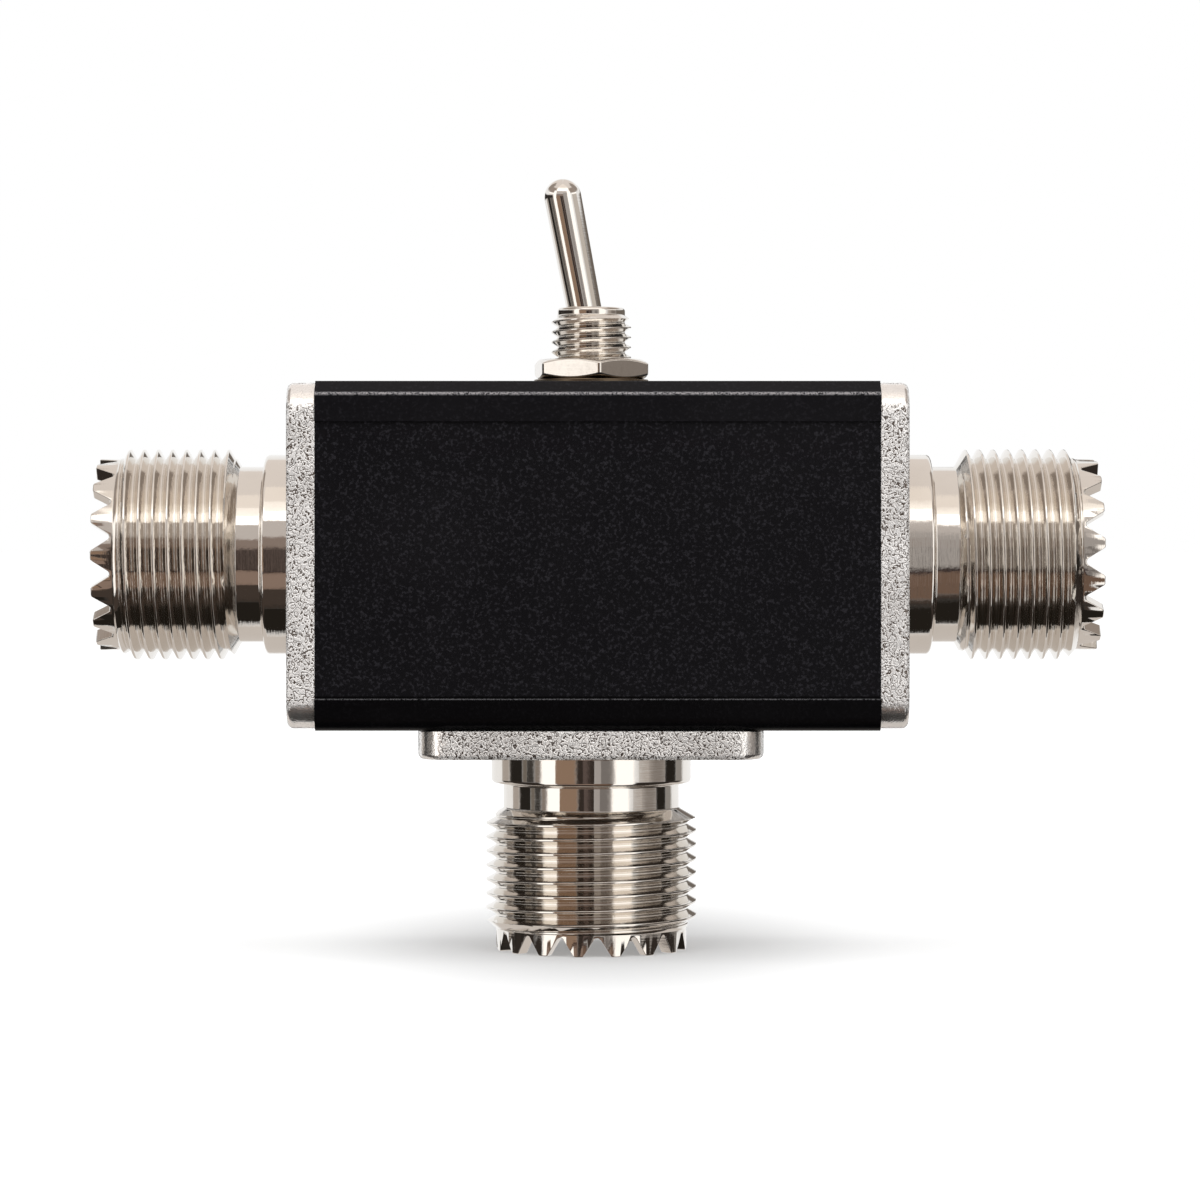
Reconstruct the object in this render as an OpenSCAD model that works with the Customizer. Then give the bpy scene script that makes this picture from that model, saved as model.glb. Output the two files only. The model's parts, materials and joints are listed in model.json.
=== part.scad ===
// Two-way coaxial antenna switch: a square extruded housing with a threaded coaxial
// port on each end, a common port below and a miniature toggle switch on top.
// Lengths are millimetres. The origin lies under the middle of the housing, on the
// surface that the bottom port stands on. X runs from the left port to the right one.

/* [Housing] */
// Length of the extrusion between the two end flanges
housing_l = 41; // [38:0.5:60]
// Room between the middle terminal of the switch and the solder cup below it
wire_room = 1.25; // [0.8:0.05:3]
// Outer corner radius of the section
housing_r = 1; // [0.5:0.1:1.6]
// Wall thickness of the extrusion
wall_t = 1.5; // [1.2:0.1:1.8]
// Depth of the label recess along the front and the back
recess_d = 0.25; // [0.1:0.05:0.4]
// Height of the raised rim above the recess
recess_top = 2.95; // [2:0.05:4]
// Height of the raised rim below the recess
recess_bottom = 2.35; // [2:0.05:4]
// Distance from an outer side to the nearest line of screws
screw_inset = 3.57; // [3.4:0.01:3.8]
// Outer radius of the screw channel in each inner corner
channel_r = 2.6; // [2.2:0.1:2.8]
// Width of the slot that opens each channel to the inside
channel_slot = 1; // [0.6:0.1:1.6]
// How far left of the middle the toggle and the bottom port sit
port_shift = 0.5; // [0:0.1:2]

/* [Port flange] */
// Thickness of the flange
flange_t = 2.1; // [1.8:0.1:3]
// How far the flange stays inside the housing's outline on each side
flange_inset = 0.1; // [0:0.05:0.3]
// Corner radius of the flange
flange_r = 2.4; // [1.5:0.1:3]
// Bevel around the outer face of the flange
flange_bevel = 0.4; // [0.2:0.1:0.6]
// Wall of the hub behind the flange
hub_wall = 1.05; // [0.8:0.05:1.3]
// Length of the hub behind the flange
hub_l = 1.8; // [1.6:0.1:2.4]

/* [Port barrel] */
// Length of the barrel from the flange to the tips of the teeth
shell_l = 14.8; // [13.5:0.1:18]
// Length of the plain collar next to the flange
collar_l = 2.3; // [1.5:0.1:3]
// Step from the thread's crest down to the collar
collar_step = 0.4; // [0:0.1:0.9]
// Length of the relief between the collar and the thread
neck_l = 2; // [1:0.1:3]
// Step from the thread's root down to the relief
neck_step = 0.65; // [0.3:0.05:0.8]
// Wall of the barrel at the relief
neck_wall = 0.5; // [0.4:0.05:1]
// Crest radius of the thread, for a 5/8 inch coupling ring
thread_r = 7.9; // [7.6:0.05:8.2]
// Pitch of the thread, 24 to the inch
thread_pitch = 1.058; // [0.8:0.001:1.5]
// Depth of the thread
thread_d = 0.65; // [0.4:0.05:0.7]
// Length of the plain tip ring, with its teeth
tip_l = 1.6; // [1.5:0.05:3]
// Step from the thread's crest down to the tip ring
tip_step = 0.75; // [0.6:0.05:1]
// Length of the cone from the thread to the tip ring
taper_l = 0.6; // [0.3:0.1:0.8]
// Number of teeth around the rim
tooth_count = 16; // [12:2:20]
// Height of a tooth
tooth_h = 1.4; // [1:0.1:1.6]
// Width of the flat tip of a tooth
tooth_tip = 0.7; // [0.4:0.1:0.9]
// Radius at the root between two teeth
tooth_root_r = 0.3; // [0.2:0.05:0.4]

/* [Port insulator and contact] */
// Depth from the tips of the teeth to the insulator's face
socket_d = 6.8; // [5:0.1:8]
// Step from the insulator's head down to its rear stem
stem_step = 1.25; // [1:0.05:1.9]
// Length of the insulator behind the hub
stem_out = 0.8; // [0.4:0.1:1.2]
// Distance from the flange's outer face to the shoulder that seats the insulator
seat_u = 0.5; // [0.2:0.1:1]
// Bore radius of the centre contact, for a 4 mm pin
contact_r = 2; // [1.9:0.01:2.1]
// Wall of the contact's socket
contact_wall = 0.6; // [0.4:0.05:0.7]
// Depth of the contact's bore
contact_d = 9.2; // [8:0.1:10]
// How far the contact stands out of the insulator's face
contact_out = 0.6; // [0.3:0.1:1]
// Width of the four slots that make the contact springy
contact_slot = 0.5; // [0.3:0.05:0.6]
// Length of the four slots
contact_slot_l = 5.6; // [4:0.1:7]
// Radius of the contact's rear shank
shank_r = 1.9; // [1.7:0.05:2]
// Length of the contact behind the flange, with its solder cup
cup_out = 6.9; // [6.4:0.1:7.2]
// Inner radius of the solder cup
cup_r = 1.4; // [1.2:0.05:1.5]
// Depth of the solder cup
cup_d = 3.4; // [2.5:0.1:3.6]

/* [Flange screws] */
// Thread radius of a countersunk screw
screw_r = 1.45; // [1.2:0.05:1.5]
// Radius of the countersunk head
screw_head_r = 2.75; // [2.4:0.05:2.9]
// Overall length of a screw at the ends
end_screw_l = 8; // [6:0.5:12]
// Overall length of a screw in the bottom flange
bottom_screw_l = 5; // [4.5:0.1:5.4]
// Width of the cross recess
cross_w = 0.6; // [0.4:0.05:0.8]
// Span of the cross recess
cross_l = 2.9; // [2.2:0.1:3.2]
// Depth of the cross recess
cross_d = 1; // [0.6:0.1:1.2]

/* [Switch mounting] */
// Wall of the bushing's foot where it goes through the frame
foot_wall = 0.4; // [0.3:0.05:0.6]
// Wall of the bushing between its thread and the seat of the pivot ball
bushing_wall = 0.58; // [0.4:0.02:0.8]
// Pitch of the bushing's thread
bushing_pitch = 0.75; // [0.6:0.05:1]
// Length of the bushing above the switch's frame
bushing_l = 9.3; // [9:0.1:12]
// Bevel at the mouth of the bushing
bushing_bevel = 0.45; // [0.3:0.05:0.5]
// Width across the flats of the two nuts
nut_af = 8; // [7.6:0.1:9]
// Thickness of each nut
nut_t = 1.5; // [1.3:0.1:1.8]
// Turn of the upper nut on its thread, in degrees
nut_turn = 40.5; // [0:0.5:59.5]
// Radius of the plain washer under the upper nut
washer_r = 4.3; // [4:0.1:5.5]
// Thickness of the plain washer
washer_t = 0.45; // [0.3:0.05:0.6]
// Radius of the toothed lock washer inside the housing
lock_r = 5.2; // [4.6:0.1:5.8]
// Thickness of the lock washer
lock_t = 0.45; // [0.3:0.05:0.6]
// Number of teeth inside the lock washer
lock_teeth = 8; // [6:1:10]

/* [Switch body] */
// Room between an outer terminal and the end wall of the case
case_room = 0.4; // [0.2:0.05:1]
// Width of the moulded case
case_w = 6.8; // [6.4:0.1:8]
// Height of the moulded case
case_h = 8.6; // [8.2:0.1:9]
// Side wall of the case
case_wall = 0.7; // [0.5:0.05:0.75]
// Floor of the case
case_floor = 1.2; // [0.9:0.1:1.5]
// Thickness of the sheet-metal frame
plate_t = 0.6; // [0.4:0.05:0.8]
// Width of each leg of the frame
leg_w = 5; // [3:0.1:7]
// Length of the hook bent under the case
hook_l = 0.9; // [0.5:0.1:1.4]
// Spacing of the three terminals
lug_pitch = 4.7; // [4.4:0.05:4.8]
// Width of a terminal
lug_w = 2; // [1.6:0.1:2.4]
// Thickness of a terminal
lug_t = 0.8; // [0.6:0.05:0.9]
// Length of a terminal below the case
lug_l = 4.6; // [4.2:0.1:4.8]
// Room around a wire in the hole of its terminal
lug_hole_gap = 0.1; // [0.05:0.01:0.2]
// Distance from the end of a terminal to the middle of its hole
lug_hole_up = 1.5; // [1.2:0.1:2]

/* [Switch mechanism] */
// Lean of the lever away from upright at each end of its throw, in degrees
lever_lean = 10.8; // [8:0.2:10.8]
// Tilt of the rocker away from level at each end, in degrees
rocker_tilt = 5; // [3:0.5:6]
// Depth of the lever's pivot below the top of the bushing
pivot_d = 2.9; // [2.7:0.05:3.2]
// Length of the lever from its pivot to the middle of its round tip
lever_l = 11.62; // [9:0.1:15]
// Radius of the lever's round tip
lever_tip_r = 1.3; // [1.1:0.05:1.5]
// Room around the lever in the bushing's throat, with the lever at one end of its throw
throat_gap = 0.16; // [0.1:0.01:0.3]
// Radius of the arm below the ball
arm_r = 0.88; // [0.8:0.02:0.9]
// Radius of the bore in the arm
arm_bore_r = 0.55; // [0.45:0.01:0.6]
// Depth of the bore in the arm
arm_bore_d = 6; // [5:0.1:7]
// Radius of the plunger's round tip
plunger_tip_r = 0.6; // [0.5:0.02:0.7]
// Radius of the collar that stops the plunger
plunger_collar_r = 0.8; // [0.7:0.02:0.88]
// Stroke of the plunger into the arm
plunger_stroke = 0.4; // [0.3:0.05:0.5]
// Length of the plunger's nose below its collar
plunger_nose = 1.62; // [1.2:0.02:2]
// Length of the plunger's shaft inside the arm
plunger_in = 2.6; // [2:0.1:3]
// Radius of the spring's wire
spring_wire_r = 0.09; // [0.06:0.01:0.1]
// Number of turns of the spring
spring_turns = 5; // [3:1:6]
// Reach of the rocker past the middle of an outer terminal
rocker_over = 0.2; // [0:0.05:0.5]
// Width of the rocker
rocker_w = 2.6; // [2:0.1:4]
// Thickness of the rocker
rocker_t = 0.35; // [0.25:0.05:0.5]
// Rise of each half of the rocker from its middle, in degrees
rocker_rise = 6; // [4:0.5:7]
// Height of the rocker's pivot above the case floor
fulcrum_h = 1.25; // [1:0.05:1.5]

/* [Wires] */
// Radius of the tinned copper wires
wire_r = 0.45; // [0.35:0.01:0.48]

/* [Hidden] */
// Gap between a piece and the hole or seat that holds it
fit_gap = 0.02;
// Gap around a shank where it passes a clearance hole
pass_gap = 0.15;
// Gap between the thread of a screw or a nut and its partner
thread_gap = 0.03;
// Gap between two electrical contacts and under a screw head
touch_gap = 0.05;
// Overrun of every cut past the surface that it opens
cut = 0.5;
// Facets of round pieces
$fn = 64;

// Shares of the pitch that are flat at a crest and at a root
crest_share = 0.16;
root_share = 0.2;
// Step from the crest of the thread to the start of the taper
lead_step = 0.15;
// Bevel at the insulator's face
insulator_bevel = 0.3;
// Bevel around the rear edge of the hub
hub_bevel = 0.3;
// Rounding at both ends of the collar
collar_fillet = 0.3;
// Length of the contact's shoulder that bears on the insulator
shoulder_l = 0.9;
// Length of the opening in the side of a solder cup
cup_side_l = 2;
// Length of the cylindrical land of a screw head
head_land = 0.2;
// Bevel at the tip of a screw
screw_bevel = 0.3;
// Steps along the arc at the root between two teeth
root_steps = 6;
// Turn of the teeth of each port, in degrees
left_turn = 0;
right_turn = 15;
common_turn = 7.5;

// Depth of the bushing's thread
bushing_thread_d = 0.42;
// Step of the bushing's foot where it goes through the frame
foot_step = 0.25;
// Height of the bushing's narrowest throat above the pivot
throat_h = 1.2;
// Room around the lever in the bushing's mouth, and around its arm at the foot
mouth_gap = 0.34;
swing_gap = 0.119;
// Depth below the pivot at which the bushing's bore starts to widen
flare_d = 4;
// Gap around the pivot ball
ball_gap = 0.05;
// Slope of the bevel on a nut's corners, in degrees
nut_bevel_a = 25;
// Radius of the flat face of a nut, as a share of half its width across flats
nut_face_share = 0.97;
// Depth and width of the gaps between the teeth of the lock washer
lock_gap_d = 0.9;
lock_gap_w = 0.9;
// Bevel of the case's upright edges
case_bevel = 0.5;
// Thickness and width of the heads of the terminals inside the case
head_t = 1.6;
head_w = 2.4;
// Radius of the rocker's knuckle, and drop of its seat's rim below its middle
knuckle_r = 0.45;
seat_drop = 0.3;
// Room between the plunger and the rocker with the lever upright
tip_gap = 0.1;
// Gap between the plunger and the arm's bore, and at the end of its stroke
plunger_gap = 0.03;
stroke_gap = 0.05;
// Length of the plunger's collar
plunger_collar_l = 0.5;
// Gap between the spring's coil and the arm's bore
spring_gap = 0.04;
// Facets around a spring, along one of its turns and around a wire
spring_sides = 6;
spring_rings = 8;
wire_sides = 12;
// Steps along each bend of a wire
bend_steps = 8;
// Length of a wire inside a solder cup
cup_hold = 2.6;
// Straight length of a wire outside a solder cup
cup_lead = 0.9;
// Straight length of a side wire before its terminal
lug_lead = 3;
// Length of a wire past its terminal
wire_past = 0.9;
// Reach of the common wire beside its terminal, and the radius of its last bend
hook_reach = 1.9;
hook_r = 0.9;
// Radius and length of the solder around a wire at a terminal
fillet_r = 0.85;
fillet_l = 0.45;

// Outer side of the housing's section: the switch stands over the common port's cup in it
housing_s = wall_t + lock_t + nut_t + plate_t + case_h + lug_l + wire_room + cup_out;

// Heights of the surfaces
half_s = housing_s / 2;
housing_z = shell_l + flange_t;
axis_z = housing_z + half_s;
ceiling_z = housing_z + housing_s - wall_t;
frame_z = ceiling_z - lock_t - nut_t;
plate_z = frame_z - plate_t;
case_z = plate_z - case_h;
floor_z = case_z + case_floor;
pivot_z = frame_z + bushing_l - pivot_d;
rocker_z = floor_z + fulcrum_h;
lug_z = case_z - lug_l;
lug_hole_z = lug_z + lug_hole_up;

// Places along and across a port
neck_r = thread_r - thread_d - neck_step;
collar_r = thread_r - collar_step;
tip_r = thread_r - tip_step;
socket_r = neck_r - neck_wall;
stem_r = socket_r - stem_step;
hub_r = stem_r + hub_wall;
screw_place = half_s - screw_inset;
flange_half = half_s - flange_inset;
face_u = shell_l - socket_d;
hub_u = -flange_t - hub_l;
stem_u = hub_u - stem_out;
contact_u = face_u + contact_out;
contact_out_r = contact_r + contact_wall;
shoulder_u = contact_u - contact_d - shoulder_l;
cup_u = -flange_t - cup_out;
thread_u = collar_l + neck_l;
thread_l = shell_l - thread_u - taper_l - tip_l;

// Sizes of the bushing, which gives room to the lever at both ends of its throw
foot_bore_r = (bushing_l - pivot_d + plate_t) * tan(lever_lean) + arm_r / cos(lever_lean) + swing_gap;
bushing_r = foot_bore_r + foot_wall + foot_step;
seat_r = bushing_r - bushing_thread_d - bushing_wall;
ball_r = seat_r - ball_gap;
throat_r = sqrt(seat_r * seat_r - throat_h * throat_h);
lever_root_r = (throat_r - throat_h * tan(lever_lean) - throat_gap) * cos(lever_lean);
mouth_r = pivot_d * tan(lever_lean) + lever_root_r / cos(lever_lean) + mouth_gap;

// Places inside the switch
case_l = 2 * (lug_pitch + head_t / 2 + case_room + case_wall);
rocker_half = lug_pitch + rocker_over;
lug_hole_r = wire_r + lug_hole_gap;
low_a = rocker_rise - rocker_tilt;
pad_z = rocker_z + lug_pitch * tan(low_a) - rocker_t / 2 / cos(low_a) - touch_gap;
plunger_s = pivot_z - rocker_z - rocker_t / 2 / cos(rocker_rise) - tip_gap;
collar_s = plunger_s - plunger_nose - plunger_collar_l;
arm_l = collar_s - plunger_stroke - stroke_gap;
spring_from = arm_l - arm_bore_d;
spring_to = collar_s - plunger_in;
spring_r = arm_bore_r - spring_gap - spring_wire_r;

// Places that several pieces share

module at_left_port() {
    translate([-housing_l / 2 - flange_t, 0, axis_z]) rotate([0, -90, 0]) children();
}

module at_right_port() {
    translate([housing_l / 2 + flange_t, 0, axis_z]) rotate([0, 90, 0]) children();
}

module at_common_port() {
    translate([-port_shift, 0, shell_l]) rotate([180, 0, 0]) children();
}

module at_switch(z) {
    translate([-port_shift, 0, z]) children();
}

module at_lever() {
    at_switch(pivot_z) rotate([0, -lever_lean, 0]) children();
}

module at_screws() {
    for (x = [-screw_place, screw_place], y = [-screw_place, screw_place])
        translate([x, y, 0]) children();
}

// Housing: an extruded square section with a recess along two sides and a screw
// channel in each corner, drilled for the bushing and for the common port

module rounded_square_2d(half, r) {
    square([2 * half, 2 * (half - r)], center = true);
    square([2 * (half - r), 2 * half], center = true);
    for (x = [r - half, half - r], y = [r - half, half - r])
        translate([x, y]) circle(r);
}

module housing_section_2d() {
    recess_h = housing_s - recess_top - recess_bottom;
    recess_mid = (recess_bottom - recess_top) / 2;
    difference() {
        union() {
            difference() {
                rounded_square_2d(half_s, housing_r);
                square(2 * (half_s - wall_t), center = true);
            }
            intersection() {
                rounded_square_2d(half_s, housing_r);
                at_screws() circle(channel_r);
            }
        }
        at_screws() circle(screw_r + thread_gap);
        for (a = [45, 135, 225, 315])
            rotate(a) translate([screw_place * sqrt(2) - channel_r, 0])
                square([2 * channel_r, channel_slot], center = true);
        for (side = [-1, 1])
            translate([recess_mid, side * half_s])
                square([recess_h, 2 * recess_d], center = true);
    }
}

module housing_tube() {
    color([0.09, 0.09, 0.1]) difference() {
        translate([housing_l / 2, 0, axis_z]) rotate([0, -90, 0])
            linear_extrude(housing_l) housing_section_2d();
        at_switch(ceiling_z - cut)
            cylinder(r = bushing_r + pass_gap, h = wall_t + 2 * cut);
        at_common_port() translate([0, 0, -flange_t - wall_t - cut])
            cylinder(r = hub_r + pass_gap, h = wall_t + 2 * cut);
        at_common_port() translate([0, 0, -bottom_screw_l - cut]) at_screws()
            cylinder(r = screw_r + thread_gap, h = bottom_screw_l - flange_t + 2 * cut);
    }
}

// Ports: every port is drawn along +Z from the outer face of its flange

function thread_profile(r, d, pitch, from, length) =
    let (count = floor(length / pitch), start = from + (length - count * pitch) / 2)
    [for (i = [0 : count - 1], p = [
        [r - d, root_share / 2], [r, (1 - crest_share) / 2],
        [r, (1 + crest_share) / 2], [r - d, 1 - root_share / 2]])
        [p[0], start + (i + p[1]) * pitch]];

module flange_plate() {
    straight = flange_half - flange_r;
    for (a = [0, 90])
        rotate([90, 0, a]) translate([0, 0, -straight]) linear_extrude(2 * straight)
            polygon([[-flange_half, -flange_t], [-flange_half, -flange_bevel],
                [-flange_half + flange_bevel, 0], [flange_half - flange_bevel, 0],
                [flange_half, -flange_bevel], [flange_half, -flange_t]]);
    for (x = [-straight, straight], y = [-straight, straight])
        translate([x, y, 0]) rotate_extrude()
            polygon([[0, -flange_t], [flange_r, -flange_t], [flange_r, -flange_bevel],
                [flange_r - flange_bevel, 0], [0, 0]]);
}

module barrel() {
    root_r = thread_r - thread_d;
    rotate_extrude() polygon(concat(
        [[0, hub_u], [hub_r - hub_bevel, hub_u], [hub_r, hub_u + hub_bevel],
         [hub_r, -flange_t / 2], [collar_r + collar_fillet, -flange_t / 2],
         [collar_r + collar_fillet, 0], [collar_r, collar_fillet],
         [collar_r, collar_l - collar_fillet], [collar_r - collar_fillet, collar_l],
         [neck_r, collar_l], [neck_r, thread_u], [root_r, thread_u]],
        thread_profile(thread_r, thread_d, thread_pitch, thread_u, thread_l),
        [[root_r, thread_u + thread_l], [thread_r - lead_step, thread_u + thread_l],
         [tip_r, shell_l - tip_l], [tip_r, shell_l], [0, shell_l]]));
}

// The gap between two teeth: its flanks are tangents to the arc at its root
module tooth_gap_2d() {
    half_gap = (2 * PI * tip_r / tooth_count - tooth_tip) / 2;
    root = tooth_root_r - tooth_h;
    from = atan2(-root, -half_gap) + acos(tooth_root_r / norm([half_gap, root]));
    polygon(concat([[-half_gap, cut], [-half_gap, 0]],
        [for (i = [0 : root_steps])
            let (a = from + (540 - 2 * from) * i / root_steps)
            [tooth_root_r * cos(a), root + tooth_root_r * sin(a)]],
        [[half_gap, 0], [half_gap, cut]]));
}

module countersink() {
    clear_r = screw_r + pass_gap;
    head_r = screw_head_r + touch_gap;
    rotate_extrude() polygon([[0, -flange_t - cut], [clear_r, -flange_t - cut],
        [clear_r, clear_r - head_r - head_land], [head_r, -head_land], [head_r, cut], [0, cut]]);
}

module port_shell(turn) {
    color([0.72, 0.69, 0.64]) difference() {
        union() {
            flange_plate();
            rotate(turn) barrel();
        }
        rotate(turn) {
            translate([0, 0, seat_u]) cylinder(r = socket_r, h = shell_l);
            for (i = [0 : tooth_count - 1])
                translate([0, 0, shell_l]) rotate([90, 0, (i + 1 / 2) * 360 / tooth_count])
                    translate([0, 0, socket_r - cut])
                    linear_extrude(tip_r - socket_r + 2 * cut) tooth_gap_2d();
        }
        translate([0, 0, hub_u - cut])
            cylinder(r = stem_r + fit_gap, h = seat_u - hub_u + 2 * cut);
        at_screws() countersink();
    }
}

module port_insulator() {
    outer_r = socket_r - fit_gap;
    color([0.93, 0.92, 0.88]) difference() {
        rotate_extrude() polygon([[0, stem_u], [stem_r, stem_u], [stem_r, seat_u],
            [outer_r, seat_u], [outer_r, face_u - insulator_bevel],
            [outer_r - insulator_bevel, face_u], [0, face_u]]);
        translate([0, 0, stem_u - cut]) cylinder(r = shank_r + fit_gap, h = face_u - stem_u);
        translate([0, 0, shoulder_u])
            cylinder(r = contact_out_r + fit_gap, h = face_u - shoulder_u + cut);
    }
}

module port_contact() {
    color([0.8, 0.72, 0.5]) difference() {
        union() {
            translate([0, 0, cup_u]) cylinder(r = shank_r, h = shoulder_u - cup_u + cut);
            translate([0, 0, shoulder_u]) cylinder(r = contact_out_r, h = contact_u - shoulder_u);
        }
        translate([0, 0, contact_u - contact_d]) cylinder(r = contact_r, h = contact_d + cut);
        translate([0, 0, contact_u - contact_slot_l / 2 + cut]) for (a = [0, 90])
            rotate(a) cube([2 * contact_out_r + cut, contact_slot, contact_slot_l + 2 * cut - cut],
                center = true);
        translate([0, 0, cup_u - cut]) cylinder(r = cup_r, h = cup_d + cut);
        translate([0, -shank_r, cup_u + cup_side_l / 2 - cut])
            cube([2 * shank_r, 2 * shank_r - cup_r, cup_side_l + cut], center = true);
    }
}

module flange_screws(length) {
    color([0.6, 0.6, 0.6]) at_screws() difference() {
        rotate_extrude() polygon([[0, -length], [screw_r - screw_bevel, -length],
            [screw_r, screw_bevel - length], [screw_r, screw_r - screw_head_r - head_land],
            [screw_head_r, -head_land], [screw_head_r, 0], [0, 0]]);
        for (a = [0, 90])
            rotate(a) cube([cross_l, cross_w, 2 * cross_d], center = true);
    }
}

module left_port_shell() {
    at_left_port() port_shell(left_turn);
}

module left_port_insulator() {
    at_left_port() port_insulator();
}

module left_port_contact() {
    at_left_port() port_contact();
}

module left_port_screws() {
    at_left_port() flange_screws(end_screw_l);
}

module right_port_shell() {
    at_right_port() port_shell(right_turn);
}

module right_port_insulator() {
    at_right_port() port_insulator();
}

module right_port_contact() {
    at_right_port() port_contact();
}

module right_port_screws() {
    at_right_port() flange_screws(end_screw_l);
}

module common_port_shell() {
    at_common_port() port_shell(common_turn);
}

module common_port_insulator() {
    at_common_port() port_insulator();
}

module common_port_contact() {
    at_common_port() port_contact();
}

module common_port_screws() {
    at_common_port() flange_screws(bottom_screw_l);
}

// Switch: bushing, frame and case

module switch_bushing() {
    foot_r = bushing_r - foot_step;
    mouth_z = bushing_l - pivot_d + throat_h;
    color([0.75, 0.73, 0.7]) at_switch(frame_z) difference() {
        rotate_extrude() polygon(concat(
            [[0, -plate_t], [foot_r, -plate_t], [foot_r, 0]],
            [[bushing_r - bushing_thread_d, 0]],
            thread_profile(bushing_r, bushing_thread_d, bushing_pitch, 0,
                bushing_l - bushing_bevel),
            [[bushing_r - bushing_thread_d, bushing_l - bushing_bevel],
             [bushing_r - bushing_bevel, bushing_l], [0, bushing_l]]));
        translate([0, 0, mouth_z])
            cylinder(r1 = throat_r, r2 = mouth_r, h = bushing_l - mouth_z);
        translate([0, 0, bushing_l - pivot_d]) sphere(seat_r);
        translate([0, 0, bushing_l - pivot_d - flare_d]) cylinder(r = seat_r, h = flare_d);
        translate([0, 0, -plate_t])
            cylinder(r1 = foot_bore_r, r2 = seat_r, h = bushing_l - pivot_d - flare_d + plate_t);
    }
}

module switch_frame() {
    side_y = case_w / 2 + fit_gap;
    hook_z = case_z - fit_gap - plate_t;
    color([0.7, 0.7, 0.68]) difference() {
        at_switch(0) union() {
            translate([-case_l / 2, -side_y - plate_t, plate_z])
                cube([case_l, 2 * (side_y + plate_t), plate_t]);
            for (side = [0, 1]) mirror([0, side, 0]) {
                translate([-leg_w / 2, side_y, hook_z])
                    cube([leg_w, plate_t, frame_z - hook_z]);
                translate([-leg_w / 2, side_y - hook_l, hook_z])
                    cube([leg_w, hook_l + plate_t, plate_t]);
            }
        }
        at_switch(plate_z - cut)
            cylinder(r = bushing_r - foot_step + fit_gap, h = plate_t + 2 * cut);
    }
}

module switch_case() {
    half_l = case_l / 2;
    half_w = case_w / 2;
    color([0.45, 0.1, 0.08]) difference() {
        at_switch(case_z) linear_extrude(case_h) polygon([
            [-half_l, case_bevel - half_w], [case_bevel - half_l, -half_w],
            [half_l - case_bevel, -half_w], [half_l, case_bevel - half_w],
            [half_l, half_w - case_bevel], [half_l - case_bevel, half_w],
            [case_bevel - half_l, half_w], [-half_l, half_w - case_bevel]]);
        at_switch(floor_z) translate([case_wall - half_l, case_wall - half_w, 0])
            cube([case_l - 2 * case_wall, case_w - 2 * case_wall, case_h]);
        for (i = [-1, 0, 1])
            at_switch(case_z + case_floor / 2) translate([i * lug_pitch, 0, 0])
                cube([lug_t + 2 * fit_gap, lug_w + 2 * fit_gap, case_floor + 2 * cut],
                    center = true);
    }
}

module nut() {
    corner_r = nut_af / 2 / cos(30);
    face_r = nut_af / 2 * nut_face_share;
    rise = (corner_r + cut - face_r) * tan(nut_bevel_a);
    bore_r = bushing_r + thread_gap;
    difference() {
        intersection() {
            cylinder(r = corner_r, h = nut_t, $fn = 6);
            rotate_extrude() polygon([[0, 0], [face_r, 0], [corner_r + cut, rise],
                [corner_r + cut, nut_t - rise], [face_r, nut_t], [0, nut_t]]);
        }
        translate([0, 0, -cut]) cylinder(r = bore_r, h = nut_t + 2 * cut);
    }
}

module panel_nut() {
    color([0.75, 0.73, 0.7]) at_switch(housing_z + housing_s + washer_t)
        rotate(nut_turn) nut();
}

module back_nut() {
    color([0.75, 0.73, 0.7]) at_switch(frame_z) nut();
}

module flat_washer() {
    color([0.75, 0.73, 0.7]) at_switch(housing_z + housing_s) difference() {
        cylinder(r = washer_r, h = washer_t);
        translate([0, 0, -cut]) cylinder(r = bushing_r + pass_gap, h = washer_t + 2 * cut);
    }
}

module lock_washer() {
    bore_r = bushing_r + pass_gap;
    color([0.55, 0.55, 0.56]) at_switch(ceiling_z - lock_t) difference() {
        cylinder(r = lock_r, h = lock_t);
        translate([0, 0, -cut]) cylinder(r = bore_r, h = lock_t + 2 * cut);
        for (i = [0 : lock_teeth - 1])
            rotate(i * 360 / lock_teeth) translate([0, -lock_gap_w / 2, -cut])
                cube([bore_r + lock_gap_d, lock_gap_w, lock_t + 2 * cut]);
    }
}

// Switch: the lever with its spring plunger, and the rocker on its terminals

module toggle_lever() {
    color([0.78, 0.76, 0.73]) at_lever() difference() {
        union() {
            sphere(ball_r);
            cylinder(r1 = lever_root_r, r2 = lever_tip_r, h = lever_l);
            translate([0, 0, lever_l]) sphere(lever_tip_r);
            translate([0, 0, -arm_l]) cylinder(r = arm_r, h = arm_l);
        }
        translate([0, 0, -arm_l - cut]) cylinder(r = arm_bore_r, h = arm_bore_d + cut);
    }
}

module plunger() {
    shaft_r = arm_bore_r - plunger_gap;
    color([0.85, 0.84, 0.8]) at_lever() {
        translate([0, 0, -collar_s - plunger_collar_l / 2])
            cylinder(r = shaft_r, h = plunger_in + plunger_collar_l / 2);
        translate([0, 0, -collar_s - plunger_collar_l])
            cylinder(r = plunger_collar_r, h = plunger_collar_l);
        translate([0, 0, plunger_tip_r - plunger_s])
            cylinder(r = plunger_tip_r, h = plunger_s - plunger_tip_r - collar_s);
        translate([0, 0, plunger_tip_r - plunger_s]) sphere(plunger_tip_r);
    }
}

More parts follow.
